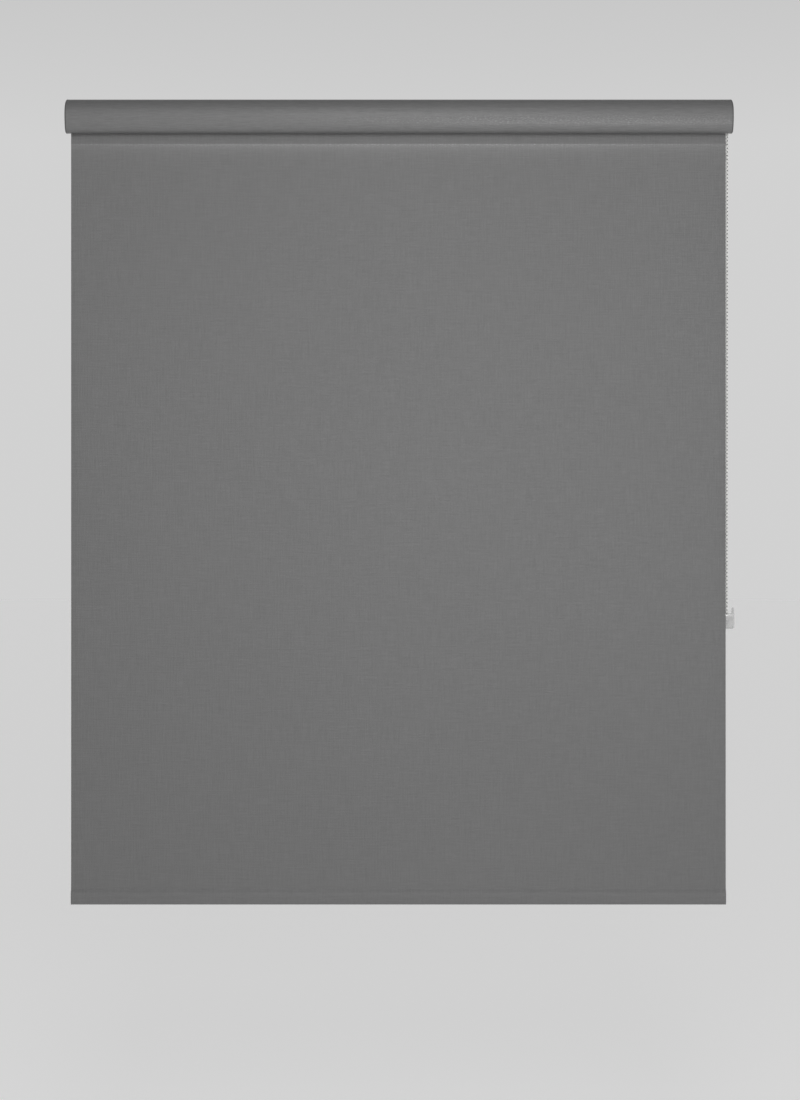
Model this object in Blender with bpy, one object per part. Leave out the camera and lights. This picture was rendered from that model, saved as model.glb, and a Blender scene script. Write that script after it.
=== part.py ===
"""Roller blind in a fabric-wrapped cassette, with a chain clutch and a chain tidy.

Metres, +Z up, X along the width (the chain is at +X), the room at -Y, the window at +Y.
The origin is on the ceiling face of the centre bracket; the roller tube's axis is straight below it.
"""

import math

import bmesh
import bpy
from mathutils import Vector

# Overall
CASSETTE_HALF = 0.5338
END_CAP_THICKNESS = 0.0018
AXIS_Z = -0.0335
GAP = 0.0002

# Fabric
FABRIC_LEFT = -0.5270
FABRIC_RIGHT = 0.5247
FABRIC_THICKNESS = 0.0004
SHEET_Y = -0.0180
SHEET_BOTTOM = -1.2684

# Cassette extrusion: outer face of the metal, from the top flange over the bulge to the lower lip
WALL = 0.0015
FASCIA_FACE = (
    (-0.0080, -0.0015),
    (-0.0125, -0.0015),
    (-0.0190, -0.0028),
    (-0.0270, -0.0064),
    (-0.0335, -0.0120),
    (-0.0378, -0.0195),
    (-0.0394, -0.0280),
    (-0.0390, -0.0370),
    (-0.0374, -0.0460),
    (-0.0350, -0.0527),
    (-0.0318, -0.0562),
    (-0.0283, -0.0573),
    (-0.0240, -0.0573),
)
TOP_PLATE_Z = -0.00875
REAR_Y = 0.02725
REAR_LIP_Y = 0.0230
REAR_TOP_Z = -0.00325
REAR_BOTTOM_Z = -0.0300
SCREW_PORTS = ((-0.0320, -0.0505), (0.0248, -0.0320), (-0.0240, -0.0122))
PORT_INNER = 0.0016
PORT_OUTER = 0.0030
SCREW_LENGTH = 0.0120
SCREW_RADIUS = 0.0014
SCREW_HEAD_RADIUS = 0.0027

# Brackets
BRACKET_X = (-0.40, 0.0, 0.40)
BRACKET_NAMES = ("left", "centre", "right")
BRACKET_WIDTH = 0.030
BRACKET_THICKNESS = 0.0015
CAM_Y = 0.0140
CAM_REACH = 0.0119

# Roller
TUBE_OUTER = 0.0160
TUBE_INNER = 0.0148
TUBE_LEFT = -0.5268
TUBE_RIGHT = 0.5239
GROOVE_WIDTH = 0.0040
GROOVE_DEPTH = 0.0022
GROOVE_ANGLE = math.radians(120)
ROLL_INNER = 0.0162
ROLL_OUTER = 0.0175

# Chain drive
BEAD_PITCH = 0.0060
BEAD_RADIUS = 0.00225
CHAIN_BEADS = 278
SPROCKET_POCKETS = 12
PULLEY_POCKETS = 8
CHAIN_X = 0.5283
GROOVE_HALF = 0.0024

# Chain tidy
TIDY_HALF_WIDTH = 0.0118
TIDY_TOP = -0.8182
TIDY_BOTTOM = -0.8530
TIDY_WALL_X = 0.5400
TIDY_FRONT_X = 0.5236

# Hem
HEM_SKIN = 0.0005
HEM_HALF = [
    (0.00055, 0.0130),
    (0.0007, 0.0116),
    (0.0013, 0.0097),
    (0.0023, 0.0073),
    (0.0031, 0.0047),
    (0.0035, 0.0015),
    (0.0035, -0.0040),
    (0.0034, -0.0078),
    (0.0029, -0.0106),
    (0.0018, -0.0124),
    (0.0, -0.0130),
]
BAR_HEIGHT = 0.0200
BAR_DEPTH = 0.0056
BAR_DROP = -0.0023
HEM_Z = -1.2817

SPROCKET_RADIUS = BEAD_PITCH / 2 / math.sin(math.pi / SPROCKET_POCKETS)
PULLEY_RADIUS = BEAD_PITCH / 2 / math.sin(math.pi / PULLEY_POCKETS)


def chain_centres():
    """Distance between the sprocket's and the pulley's axes that takes the whole chain."""
    length = BEAD_PITCH * CHAIN_BEADS
    difference = SPROCKET_RADIUS - PULLEY_RADIUS
    distance = length / 2
    for _ in range(30):
        lean = math.asin(difference / distance)
        wraps = math.pi * (SPROCKET_RADIUS + PULLEY_RADIUS) + 2 * lean * difference
        distance = (length - wraps) / 2 / math.cos(lean)
    return distance


CENTRES = chain_centres()
LEAN = math.asin((SPROCKET_RADIUS - PULLEY_RADIUS) / CENTRES)
PULLEY_Z = AXIS_Z - CENTRES


def clear_scene():
    for obj in list(bpy.data.objects):
        bpy.data.objects.remove(obj, do_unlink=True)


def material(name, colour, roughness, metallic=0.0, alpha=1.0):
    mat = bpy.data.materials.new(name)
    mat.use_nodes = True
    shader = mat.node_tree.nodes["Principled BSDF"]
    shader.inputs["Base Color"].default_value = (*colour, 1.0)
    shader.inputs["Roughness"].default_value = roughness
    shader.inputs["Metallic"].default_value = metallic
    shader.inputs["Alpha"].default_value = alpha
    return mat


def empty(name, location):
    holder = bpy.data.objects.new(name, None)
    holder.location = location
    holder.empty_display_size = 0.02
    bpy.context.scene.collection.objects.link(holder)
    return holder


def add_object(name, data, mat, parent=None, location=(0, 0, 0), rotation=(0, 0, 0)):
    obj = bpy.data.objects.new(name, data)
    if mat is not None:
        data.materials.append(mat)
    obj.parent = parent
    obj.location = location
    obj.rotation_euler = rotation
    bpy.context.scene.collection.objects.link(obj)
    return obj


def mesh_from(bm, name, smooth_angle=None):
    bmesh.ops.remove_doubles(bm, verts=bm.verts, dist=1e-7)
    bmesh.ops.recalc_face_normals(bm, faces=bm.faces)
    mesh = bpy.data.meshes.new(name)
    bm.to_mesh(mesh)
    bm.free()
    if smooth_angle is not None:
        mesh.shade_smooth()
        mesh.set_sharp_from_angle(angle=math.radians(smooth_angle))
    return mesh


def prism_mesh(name, outline, start, end, smooth_angle=None):
    """A closed outline of (y, z) points extruded along X."""
    bm = bmesh.new()
    face = bm.faces.new([bm.verts.new((start, y, z)) for y, z in outline])
    pushed = bmesh.ops.extrude_face_region(bm, geom=[face])
    moved = [v for v in pushed["geom"] if isinstance(v, bmesh.types.BMVert)]
    bmesh.ops.translate(bm, verts=moved, vec=(end - start, 0, 0))
    return mesh_from(bm, name, smooth_angle)


def ring_prism_mesh(name, outer, inner, start, end, smooth_angle=40):
    """Two outlines with the same number of points, one inside the other, extruded along X."""
    bm = bmesh.new()
    loops = []
    for outline, x in ((outer, start), (outer, end), (inner, end), (inner, start)):
        loops.append([bm.verts.new((x, y, z)) for y, z in outline])
    count = len(outer)
    for side in range(4):
        near = loops[side]
        far = loops[(side + 1) % 4]
        for i in range(count):
            j = (i + 1) % count
            bm.faces.new((near[i], near[j], far[j], far[i]))
    return mesh_from(bm, name, smooth_angle)


def turned_mesh(name, profile, steps, closed=True, smooth_angle=35):
    """A profile of (x, radius) points spun about X; an open one starts and ends on the axis."""
    bm = bmesh.new()
    verts = [bm.verts.new((x, 0, radius)) for x, radius in profile]
    edges = [bm.edges.new(pair) for pair in zip(verts, verts[1:])]
    if closed:
        edges.append(bm.edges.new((verts[-1], verts[0])))
    bmesh.ops.spin(
        bm,
        geom=verts + edges,
        axis=(1, 0, 0),
        cent=(0, 0, 0),
        angle=2 * math.pi,
        steps=steps,
        use_merge=True,
    )
    bmesh.ops.dissolve_degenerate(bm, dist=1e-7, edges=bm.edges)
    return mesh_from(bm, name, smooth_angle)


def box_mesh(name, low, high):
    bm = bmesh.new()
    bmesh.ops.create_cube(bm, size=1.0)
    size = Vector(high) - Vector(low)
    bmesh.ops.scale(bm, verts=bm.verts, vec=size)
    bmesh.ops.translate(bm, verts=bm.verts, vec=Vector(low) + size / 2)
    return mesh_from(bm, name)


def joined_boxes_mesh(name, boxes):
    """Boxes that stay clear of each other, in one mesh."""
    bm = bmesh.new()
    for low, high, turn in boxes:
        made = bmesh.ops.create_cube(bm, size=1.0)["verts"]
        size = Vector(high) - Vector(low)
        bmesh.ops.scale(bm, verts=made, vec=size)
        bmesh.ops.translate(bm, verts=made, vec=Vector(low) + size / 2)
        spin = (Vector((1, 0, 0)), turn)
        rotate_about_x(bm, made, spin[1])
    return mesh_from(bm, name)


def rotate_about_x(bm, verts, angle):
    for v in verts:
        y, z = v.co.y, v.co.z
        v.co.y = y * math.cos(angle) - z * math.sin(angle)
        v.co.z = y * math.sin(angle) + z * math.cos(angle)


def helper(name, mesh, parent=None, location=(0, 0, 0), rotation=(0, 0, 0)):
    """A cutting or joining shape that isn't a piece of the blind."""
    obj = add_object(name, mesh, None, parent, location, rotation)
    obj.hide_render = True
    obj.display_type = "WIRE"
    return obj


def combine(obj, other, operation):
    mod = obj.modifiers.new(operation.lower(), "BOOLEAN")
    mod.operation = operation
    mod.solver = "EXACT"
    mod.object = other


def circle(radius, count, centre=(0, 0), start=0.0, sweep=2 * math.pi):
    closed = abs(sweep) >= 2 * math.pi - 1e-9
    steps = count if closed else count - 1
    return [
        (
            centre[0] + radius * math.cos(start + sweep * i / steps),
            centre[1] + radius * math.sin(start + sweep * i / steps),
        )
        for i in range(count)
    ]


def smooth_path(points, steps):
    """A Catmull-Rom curve through the points."""
    path = []
    last = len(points) - 1
    for i in range(last):
        a = Vector(points[max(i - 1, 0)])
        b = Vector(points[i])
        c = Vector(points[i + 1])
        d = Vector(points[min(i + 2, last)])
        for s in range(steps):
            t = s / steps
            path.append(
                0.5 * (2 * b + (c - a) * t + (2 * a - 5 * b + 4 * c - d) * t**2 + (3 * b - a - 3 * c + d) * t**3)
            )
    path.append(Vector(points[last]))
    return path


def offset_path(path, distance):
    """The path moved sideways, to the left of its own direction for a positive distance."""
    moved = []
    for i, point in enumerate(path):
        before = (point - path[i - 1]).normalized() if i > 0 else None
        after = (path[i + 1] - point).normalized() if i < len(path) - 1 else None
        along_in = before or after
        along_out = after or before
        along = (along_in + along_out).normalized()
        across = Vector((-along.y, along.x))
        lengthen = 1 / max(along.dot(along_in), 0.5)
        moved.append(point + across * distance * lengthen)
    return moved


def strip(path, one_side, other_side):
    """A closed outline between two offsets of one path."""
    first = offset_path(path, one_side)
    second = offset_path(path, other_side)
    return [tuple(p) for p in first] + [tuple(p) for p in reversed(second)]


def arc_strip(centre, inner, outer, start, sweep, count):
    return circle(outer, count, centre, start, sweep) + circle(inner, count, centre, start + sweep, -sweep)


def oval(height, depth, centre, count=28):
    """A rounded bar, fuller than an ellipse."""
    points = []
    for i in range(count):
        angle = 2 * math.pi * i / count
        c, s = math.cos(angle), math.sin(angle)
        y = math.copysign(abs(c) ** 0.80, c) * depth / 2
        z = math.copysign(abs(s) ** 0.62, s) * height / 2
        points.append((centre[0] + y, centre[1] + z))
    return points


def coil(name, start, end, radius, wire, turns, mat, parent, per_turn=10):
    """A wire spring about X."""
    count = int(turns * per_turn) + 1
    data = bpy.data.curves.new(name, "CURVE")
    data.dimensions = "3D"
    data.bevel_depth = wire
    data.bevel_resolution = 1
    data.use_fill_caps = True
    line = data.splines.new("POLY")
    line.points.add(count - 1)
    for i in range(count):
        share = i / (count - 1)
        angle = 2 * math.pi * turns * share
        x = start + (end - start) * share
        line.points[i].co = (x, radius * math.cos(angle), radius * math.sin(angle), 1)
    return add_object(name, data, mat, parent)


def fascia_path():
    return smooth_path(FASCIA_FACE, 2)


def make_fascia(mats):
    inner_end = CASSETTE_HALF - END_CAP_THICKNESS - GAP
    path = fascia_path()
    front = prism_mesh("cassette_fascia", strip(path, 0.0, WALL), -inner_end, inner_end, 35)
    fascia = add_object("cassette_fascia", front, mats["aluminium"])
    set_back = inner_end - 0.0004
    half = WALL / 2
    plate = [Vector((-0.0290, TOP_PLATE_Z)), Vector((REAR_Y, TOP_PLATE_Z))]
    rear = [
        Vector((REAR_LIP_Y, REAR_TOP_Z)),
        Vector((REAR_Y, REAR_TOP_Z)),
        Vector((REAR_Y, REAR_BOTTOM_Z)),
    ]
    combine(fascia, helper("fascia_top_plate", prism_mesh("fascia_top_plate", strip(plate, half, -half), -set_back, set_back)), "UNION")
    combine(fascia, helper("fascia_rear_rail", prism_mesh("fascia_rear_rail", strip(rear, half, -half), 0.0002 - set_back, set_back - 0.0002)), "UNION")
    openings = (math.radians(0), math.radians(225), math.radians(270))
    for number, (centre, opening) in enumerate(zip(SCREW_PORTS, openings)):
        gap_angle = math.radians(70)
        outline = arc_strip(centre, PORT_INNER, PORT_OUTER, opening + gap_angle / 2, 2 * math.pi - gap_angle, 12)
        end = set_back - 0.0004 - 0.0001 * number
        mesh = prism_mesh(f"fascia_port_{number + 1}", outline, -end, end)
        combine(fascia, helper(f"fascia_port_{number + 1}", mesh), "UNION")
    skin = strip(path, -GAP, -GAP - FABRIC_THICKNESS)
    mesh = prism_mesh("fascia_fabric", skin, -inner_end, inner_end, 35)
    add_object("fascia_fabric", mesh, mats["fabric"])


def end_cap_outline():
    front = [tuple(p) for p in offset_path(fascia_path(), -GAP - FABRIC_THICKNESS - 0.0002)]
    rear = [
        (-0.0160, -0.0562),
        (0.0205, -0.0471),
        (0.0262, -0.0440),
        (0.0284, -0.0385),
        (0.0284, -0.0040),
        (0.0270, -0.0015),
        (0.0240, -0.0008),
    ]
    return front + rear


def make_end_cap(side, sign, mats):
    inner = sign * (CASSETTE_HALF - END_CAP_THICKNESS)
    outer = sign * CASSETTE_HALF
    cap = add_object(f"end_cap_{side}", prism_mesh("end_cap", end_cap_outline(), inner, outer), mats["grey_plastic"])
    whole = fascia_path()
    bulge = [p for p in whole if -0.0450 < p.y < -0.0140]
    rib_outline = strip(bulge, WALL + GAP, WALL + GAP + 0.0012)
    rib = prism_mesh("end_cap_rib", rib_outline, inner - sign * 0.0060, inner + sign * 0.0006)
    combine(cap, helper(f"end_cap_rib_{side}", rib), "UNION")
    for number, (y, z) in enumerate(SCREW_PORTS):
        sink = [
            (inner - sign * 0.001, 0),
            (inner - sign * 0.001, SCREW_RADIUS + 0.0002),
            (outer - sign * 0.0013, SCREW_RADIUS + 0.0002),
            (outer, SCREW_HEAD_RADIUS + 0.0002),
            (outer + sign * 0.001, SCREW_HEAD_RADIUS + 0.0002),
            (outer + sign * 0.001, 0),
        ]
        cutter = helper(f"sink_{side}_{number + 1}", turned_mesh("sink", sink, 16, closed=False), None, (0, y, z))
        combine(cap, cutter, "DIFFERENCE")
        face = outer - sign * 0.0001
        shape = [
            (face, 0),
            (face, SCREW_HEAD_RADIUS),
            (face - sign * 0.0012, SCREW_RADIUS),
            (face - sign * (SCREW_LENGTH - 0.0015), SCREW_RADIUS),
            (face - sign * SCREW_LENGTH, 0),
        ]
        mesh = turned_mesh("end_cap_screw", shape, 12, closed=False)
        add_object(f"end_cap_screw_{side}_{number + 1}", mesh, mats["steel"], None, (0, y, z))
    return cap


def make_right_end_details(cap, mats):
    """Recess for the clutch, and the hole for its screw."""
    inner = CASSETTE_HALF - END_CAP_THICKNESS
    recess = [
        (inner - 0.001, 0),
        (inner - 0.001, 0.0170),
        (inner + 0.0009, 0.0170),
        (inner + 0.0009, 0.0020),
        (CASSETTE_HALF + 0.001, 0.0020),
        (CASSETTE_HALF + 0.001, 0),
    ]
    cutter = turned_mesh("clutch_recess", recess, 32, closed=False)
    combine(cap, helper("clutch_recess", cutter, None, (0, 0, AXIS_Z)), "DIFFERENCE")
    plate_in = inner
    plate_out = inner + 0.0007
    rim_in = CHAIN_X - 0.0033
    profile = [
        (plate_out, 0.0043),
        (plate_out, 0.0166),
        (rim_in, 0.0166),
        (rim_in, 0.0151),
        (plate_in, 0.0151),
        (plate_in, 0.0043),
    ]
    housing = add_object("clutch_housing", turned_mesh("clutch_housing", profile, 32), mats["grey_plastic"], None, (0, 0, AXIS_Z))
    mouth = box_mesh("chain_mouth", (rim_in - 0.002, -0.020, -0.030), (plate_in - 0.0002, 0.020, -0.0050))
    combine(housing, helper("chain_mouth", mouth, None, (0, 0, AXIS_Z)), "DIFFERENCE")


def make_clutch(mats, sprocket_axis):
    inner = CASSETTE_HALF - END_CAP_THICKNESS
    post = [
        (0.5120, 0.0),
        (0.5120, 0.0015),
        (inner + 0.0006, 0.0015),
        (inner + 0.0006, 0.0040),
        (inner - 0.0004, 0.0040),
        (inner - 0.0004, 0.0079),
        (inner - 0.0015, 0.0079),
        (inner - 0.0015, 0.0050),
        (0.4872, 0.0050),
        (0.4872, 0.0042),
        (0.4860, 0.0042),
        (0.4860, 0.0050),
        (0.4838, 0.0050),
        (0.4830, 0.0044),
        (0.4830, 0.0),
    ]
    add_object("clutch_post", turned_mesh("clutch_post", post, 20, closed=False), mats["steel"], None, (0, 0, AXIS_Z))
    face = CASSETTE_HALF + 0.0002
    screw = [
        (face + 0.0013, 0),
        (face + 0.0013, 0.0022),
        (face + 0.0008, 0.0033),
        (face, 0.0035),
        (face, 0.0013),
        (0.5140, 0.0013),
        (0.5128, 0),
    ]
    add_object("clutch_screw", turned_mesh("clutch_screw", screw, 16, closed=False), mats["steel"], None, (0, 0, AXIS_Z))
    clip = [(0.4863, 0.0044), (0.4869, 0.0044), (0.4869, 0.0072), (0.4863, 0.0072)]
    circlip = add_object("clutch_circlip", turned_mesh("clutch_circlip", clip, 24), mats["spring_steel"], None, (0, 0, AXIS_Z))
    slit = box_mesh("circlip_slit", (0.4850, -0.0020, -0.0100), (0.4880, 0.0020, -0.0030))
    combine(circlip, helper("circlip_slit", slit, None, (0, 0, AXIS_Z)), "DIFFERENCE")
    coil("brake_spring_outer", 0.5085, 0.5215, 0.0058, 0.00045, 4, mats["spring_steel"], sprocket_axis)
    coil("brake_spring_inner", 0.4925, 0.5055, 0.0058, 0.00045, 4, mats["spring_steel"], sprocket_axis)


def spline_boxes(low_radius, high_radius, width, start, end):
    boxes = []
    for i in range(6):
        turn = 2 * math.pi * i / 6
        boxes.append(((start, -width / 2, low_radius), (end, width / 2, high_radius), turn))
    return boxes


def make_sprocket(mats, axis):
    outer = CHAIN_X + GROOVE_HALF + 0.0009
    inner = CHAIN_X - GROOVE_HALF - 0.0009
    floor = SPROCKET_RADIUS - BEAD_RADIUS - 0.00045
    crown = SPROCKET_RADIUS + 0.0010
    profile = [
        (outer, 0.0083),
        (outer, crown),
        (CHAIN_X + GROOVE_HALF, crown),
        (CHAIN_X + GROOVE_HALF, floor + 0.0011),
        (CHAIN_X + 0.0013, floor),
        (CHAIN_X - 0.0013, floor),
        (CHAIN_X - GROOVE_HALF, floor + 0.0011),
        (CHAIN_X - GROOVE_HALF, crown),
        (inner, crown),
        (inner, 0.0094),
        (0.4900, 0.0094),
        (0.4900, 0.0069),
        (0.5235, 0.0069),
        (0.5235, 0.0053),
        (outer - 0.0016, 0.0053),
        (outer - 0.0016, 0.0083),
    ]
    sprocket = add_object("chain_sprocket", turned_mesh("chain_sprocket", profile, 30), mats["white_plastic"], axis)
    ribs = joined_boxes_mesh("barrel_splines", spline_boxes(0.0090, 0.0105, 0.0020, 0.4930, 0.5200))
    combine(sprocket, helper("barrel_splines", ribs, axis), "UNION")


def tube_outline(radius, groove_floor, groove_half, count=40):
    """A circle with one flat-bottomed key groove at GROOVE_ANGLE."""
    points = []
    edge = math.asin(groove_half / radius)
    start = GROOVE_ANGLE + edge
    sweep = 2 * math.pi - 2 * edge
    points += circle(radius, count, (0, 0), start, sweep)
    out = Vector((math.cos(GROOVE_ANGLE), math.sin(GROOVE_ANGLE)))
    across = Vector((-out.y, out.x))
    points.append(tuple(out * groove_floor - across * groove_half))
    points.append(tuple(out * groove_floor + across * groove_half))
    return points


def make_roller(mats, axis):
    half = GROOVE_WIDTH / 2
    wall = TUBE_OUTER - TUBE_INNER
    outer = tube_outline(TUBE_OUTER, TUBE_OUTER - GROOVE_DEPTH, half)
    inner = tube_outline(TUBE_INNER, TUBE_INNER - GROOVE_DEPTH, half + wall)
    mesh = ring_prism_mesh("roller_tube", outer, inner, TUBE_LEFT, TUBE_RIGHT)
    add_object("roller_tube", mesh, mats["aluminium"], axis)
    outer = circle(ROLL_OUTER, 48)
    inner = circle(ROLL_INNER, 48)
    mesh = ring_prism_mesh("fabric_roll", outer, inner, FABRIC_LEFT, FABRIC_RIGHT)
    add_object("fabric_roll", mesh, mats["fabric"], axis)
    low = (TUBE_LEFT + 0.001, -half + GAP, TUBE_OUTER - GROOVE_DEPTH + GAP)
    high = (TUBE_RIGHT - 0.001, half - GAP, TUBE_OUTER - 0.0003)
    turn = GROOVE_ANGLE - math.pi / 2
    spline = joined_boxes_mesh("fabric_spline", [(low, high, turn)])
    add_object("fabric_spline", spline, mats["grey_plastic"], axis)


def groove_cutter(name, start, end, axis):
    """Room for the tube's key groove, which stands into the plugs."""
    half = GROOVE_WIDTH / 2 + TUBE_OUTER - TUBE_INNER + 0.0003
    floor = TUBE_INNER - GROOVE_DEPTH - 0.0003
    turn = GROOVE_ANGLE - math.pi / 2
    mesh = joined_boxes_mesh(name, [((start, -half, floor), (end, half, 0.0152), turn)])
    return helper(name, mesh, axis)


def make_drive_plug(mats, axis):
    profile = [
        (TUBE_RIGHT + 0.0009, 0.0097),
        (TUBE_RIGHT + 0.0009, 0.0160),
        (TUBE_RIGHT + 0.0002, 0.0160),
        (TUBE_RIGHT + 0.0002, 0.0145),
        (0.4866, 0.0145),
        (0.4850, 0.0137),
        (0.4850, 0.0097),
    ]
    plug = add_object("drive_plug", turned_mesh("drive_plug", profile, 32), mats["black_plastic"], axis)
    combine(plug, groove_cutter("drive_plug_key", 0.4840, TUBE_RIGHT + 0.0001, axis), "DIFFERENCE")
    slots = joined_boxes_mesh("drive_plug_slots", spline_boxes(0.0080, 0.0108, 0.0025, 0.4840, 0.5215))
    combine(plug, helper("drive_plug_slots", slots, axis), "DIFFERENCE")


def make_idle_end(mats, axis, pin_holder):
    profile = [
        (TUBE_LEFT - 0.0014, 0.0043),
        (TUBE_LEFT - 0.0014, 0.0160),
        (TUBE_LEFT - 0.0002, 0.0160),
        (TUBE_LEFT - 0.0002, 0.0145),
        (-0.4916, 0.0145),
        (-0.4900, 0.0137),
        (-0.4900, 0.0080),
        (-0.5200, 0.0080),
        (-0.5200, 0.0043),
    ]
    plug = add_object("idle_plug", turned_mesh("idle_plug", profile, 32), mats["black_plastic"], axis)
    combine(plug, groove_cutter("idle_plug_key", TUBE_LEFT - 0.0001, -0.4890, axis), "DIFFERENCE")
    cap = [
        (-0.4935, 0.0043),
        (-0.4935, 0.0078),
        (-0.4905, 0.0078),
        (-0.4905, 0.0043),
    ]
    add_object("idle_plug_cap", turned_mesh("idle_plug_cap", cap, 24), mats["black_plastic"], axis)
    tip = -CASSETTE_HALF + END_CAP_THICKNESS + 0.0003
    pin = [
        (tip, 0),
        (tip, 0.0034),
        (tip + 0.0006, 0.0040),
        (-0.5185, 0.0040),
        (-0.5185, 0.0072),
        (-0.5165, 0.0072),
        (-0.5165, 0.0040),
        (-0.4890, 0.0040),
        (-0.4884, 0.0034),
        (-0.4884, 0),
    ]
    mesh = turned_mesh("idle_pin", pin, 20, closed=False)
    add_object("idle_pin", mesh, mats["steel"], pin_holder)
    coil("idle_spring", -0.5157, -0.4943, 0.0057, 0.0005, 6, mats["spring_steel"], axis)
    inner = -CASSETTE_HALF + END_CAP_THICKNESS
    bush = [
        (inner + GAP, 0.0043),
        (inner + GAP, 0.0110),
        (inner + 0.0010, 0.0110),
        (inner + 0.0010, 0.0075),
        (inner + 0.0029, 0.0075),
        (inner + 0.0029, 0.0043),
    ]
    add_object("idle_bush", turned_mesh("idle_bush", bush, 24), mats["white_plastic"], None, (0, 0, AXIS_Z))


def stadium(half_width, low, high, count=9):
    top = circle(half_width, count, (0, high - half_width), 0, math.pi)
    bottom = circle(half_width, count, (0, low + half_width), math.pi, math.pi)
    return top + bottom


def upright(points_mesh):
    """Turns a mesh made about X so that it stands about Z."""
    for v in points_mesh.vertices:
        x, y, z = v.co
        v.co = (-z, y, x)
    return points_mesh


def make_bracket(name, x, mats):
    half = BRACKET_THICKNESS / 2
    path = [
        Vector((-0.0120, -0.00405)),
        Vector((-0.0052, -0.00405)),
        Vector((-0.0032, -half)),
        Vector((0.0220, -half)),
    ]
    start, end = -BRACKET_WIDTH / 2, BRACKET_WIDTH / 2
    mesh = prism_mesh("bracket", strip(path, half, -half), start, end)
    bracket = add_object(f"bracket_{name}", mesh, mats["zinc"], None, (x, 0, 0))
    for side in (-1, 1):
        slot = prism_mesh("slot", stadium(0.0019, -0.0045, 0.0045), -0.003, 0.002)
        cutter = helper(f"slot_{name}_{side}", upright(slot), None, (x + side * 0.0095, 0.0075, 0))
        cutter.rotation_euler = (0, 0, math.pi / 2)
        combine(bracket, cutter, "DIFFERENCE")
    hole = [(0.001, 0), (0.001, 0.0035), (-0.0009, 0.0035), (-0.0009, 0.0023), (-0.003, 0.0023), (-0.003, 0)]
    cutter = helper(f"rivet_hole_{name}", upright(turned_mesh("rivet_hole", hole, 20, closed=False)), None, (x, CAM_Y, 0))
    combine(bracket, cutter, "DIFFERENCE")
    rivet = [
        (-0.0001, 0),
        (-0.0001, 0.0032),
        (-0.0007, 0.0032),
        (-0.0007, 0.0020),
        (-0.0067, 0.0020),
        (-0.0067, 0.0034),
        (-0.0075, 0.0026),
        (-0.0077, 0),
    ]
    mesh = upright(turned_mesh("cam_rivet", rivet, 16, closed=False))
    add_object(f"cam_rivet_{name}", mesh, mats["steel"], None, (x, CAM_Y, 0))
    make_cam(name, x, mats)


def make_cam(name, x, mats):
    """The lever that locks the cassette's rear lip onto the bracket."""
    holder = empty(f"cam_axis_{name}", (x, CAM_Y, 0))
    hub = [(-0.0018, 0.0023), (-0.0018, 0.0060), (-0.0065, 0.0060), (-0.0065, 0.0023)]
    cam = add_object(f"bracket_cam_{name}", upright(turned_mesh("bracket_cam", hub, 20)), mats["white_plastic"], holder)
    finger = box_mesh("cam_finger", (-0.0030, 0.0040, -0.0064), (0.0030, CAM_REACH, -0.0043))
    combine(cam, helper(f"cam_finger_{name}", finger, holder), "UNION")
    lever = box_mesh("cam_lever", (-0.0022, -0.0140, -0.0062), (0.0022, -0.0040, -0.0045))
    combine(cam, helper(f"cam_lever_{name}", lever, holder), "UNION")


def chain_loop():
    """The chain's centreline, from the sprocket's rear side over the top, down the front and back up."""
    points = []
    top, bottom = 16, 12
    for i in range(top + 1):
        angle = -LEAN + (math.pi + 2 * LEAN) * i / top
        points.append((SPROCKET_RADIUS * math.cos(angle), AXIS_Z + SPROCKET_RADIUS * math.sin(angle)))
    front_top = Vector(points[-1])
    low = []
    for i in range(bottom + 1):
        angle = math.pi + LEAN + (math.pi - 2 * LEAN) * i / bottom
        low.append((PULLEY_RADIUS * math.cos(angle), PULLEY_Z + PULLEY_RADIUS * math.sin(angle)))
    runs = 9
    front_low = Vector(low[0])
    for i in range(1, runs):
        points.append(tuple(front_top.lerp(front_low, i / runs)))
    points += low
    rear_low = Vector(low[-1])
    rear_top = Vector(points[0])
    for i in range(1, runs):
        points.append(tuple(rear_low.lerp(rear_top, i / runs)))
    return points


def make_chain(mats):
    data = bpy.data.curves.new("ball_chain", "CURVE")
    data.dimensions = "3D"
    data.bevel_depth = BEAD_RADIUS
    data.bevel_resolution = 2
    data.use_fill_caps = True
    route = chain_loop()
    line = data.splines.new("POLY")
    line.points.add(len(route) - 1)
    for point, (y, z) in zip(line.points, route):
        point.co = (CHAIN_X, y, z, 1)
    line.use_cyclic_u = True
    add_object("ball_chain", data, mats["bead_plastic"])


def on_rear_strand(name, profile, steps, z, mats):
    """A piece clipped round the rear strand, its holder on the strand and leaning with it."""
    y = SPROCKET_RADIUS / math.cos(LEAN) - (AXIS_Z - z) * math.tan(LEAN)
    mesh = upright(turned_mesh(name, profile, steps))
    return add_object(name, mesh, mats["clear_plastic"], None, (CHAIN_X, y, z), (-LEAN, 0, 0))


def make_chain_fittings(mats):
    bore = BEAD_RADIUS + 0.00015
    link = [
        (0.0065, bore),
        (0.0065, bore + 0.0004),
        (0.0050, bore + 0.0008),
        (-0.0050, bore + 0.0008),
        (-0.0065, bore + 0.0004),
        (-0.0065, bore),
    ]
    on_rear_strand("chain_connector", link, 16, -0.0876, mats)
    stop = [
        (0.0030, bore),
        (0.0030, bore + 0.0004),
        (0.0012, bore + 0.0011),
        (-0.0012, bore + 0.0011),
        (-0.0030, bore + 0.0004),
        (-0.0030, bore),
    ]
    on_rear_strand("chain_stop", stop, 16, -0.0670, mats)


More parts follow.
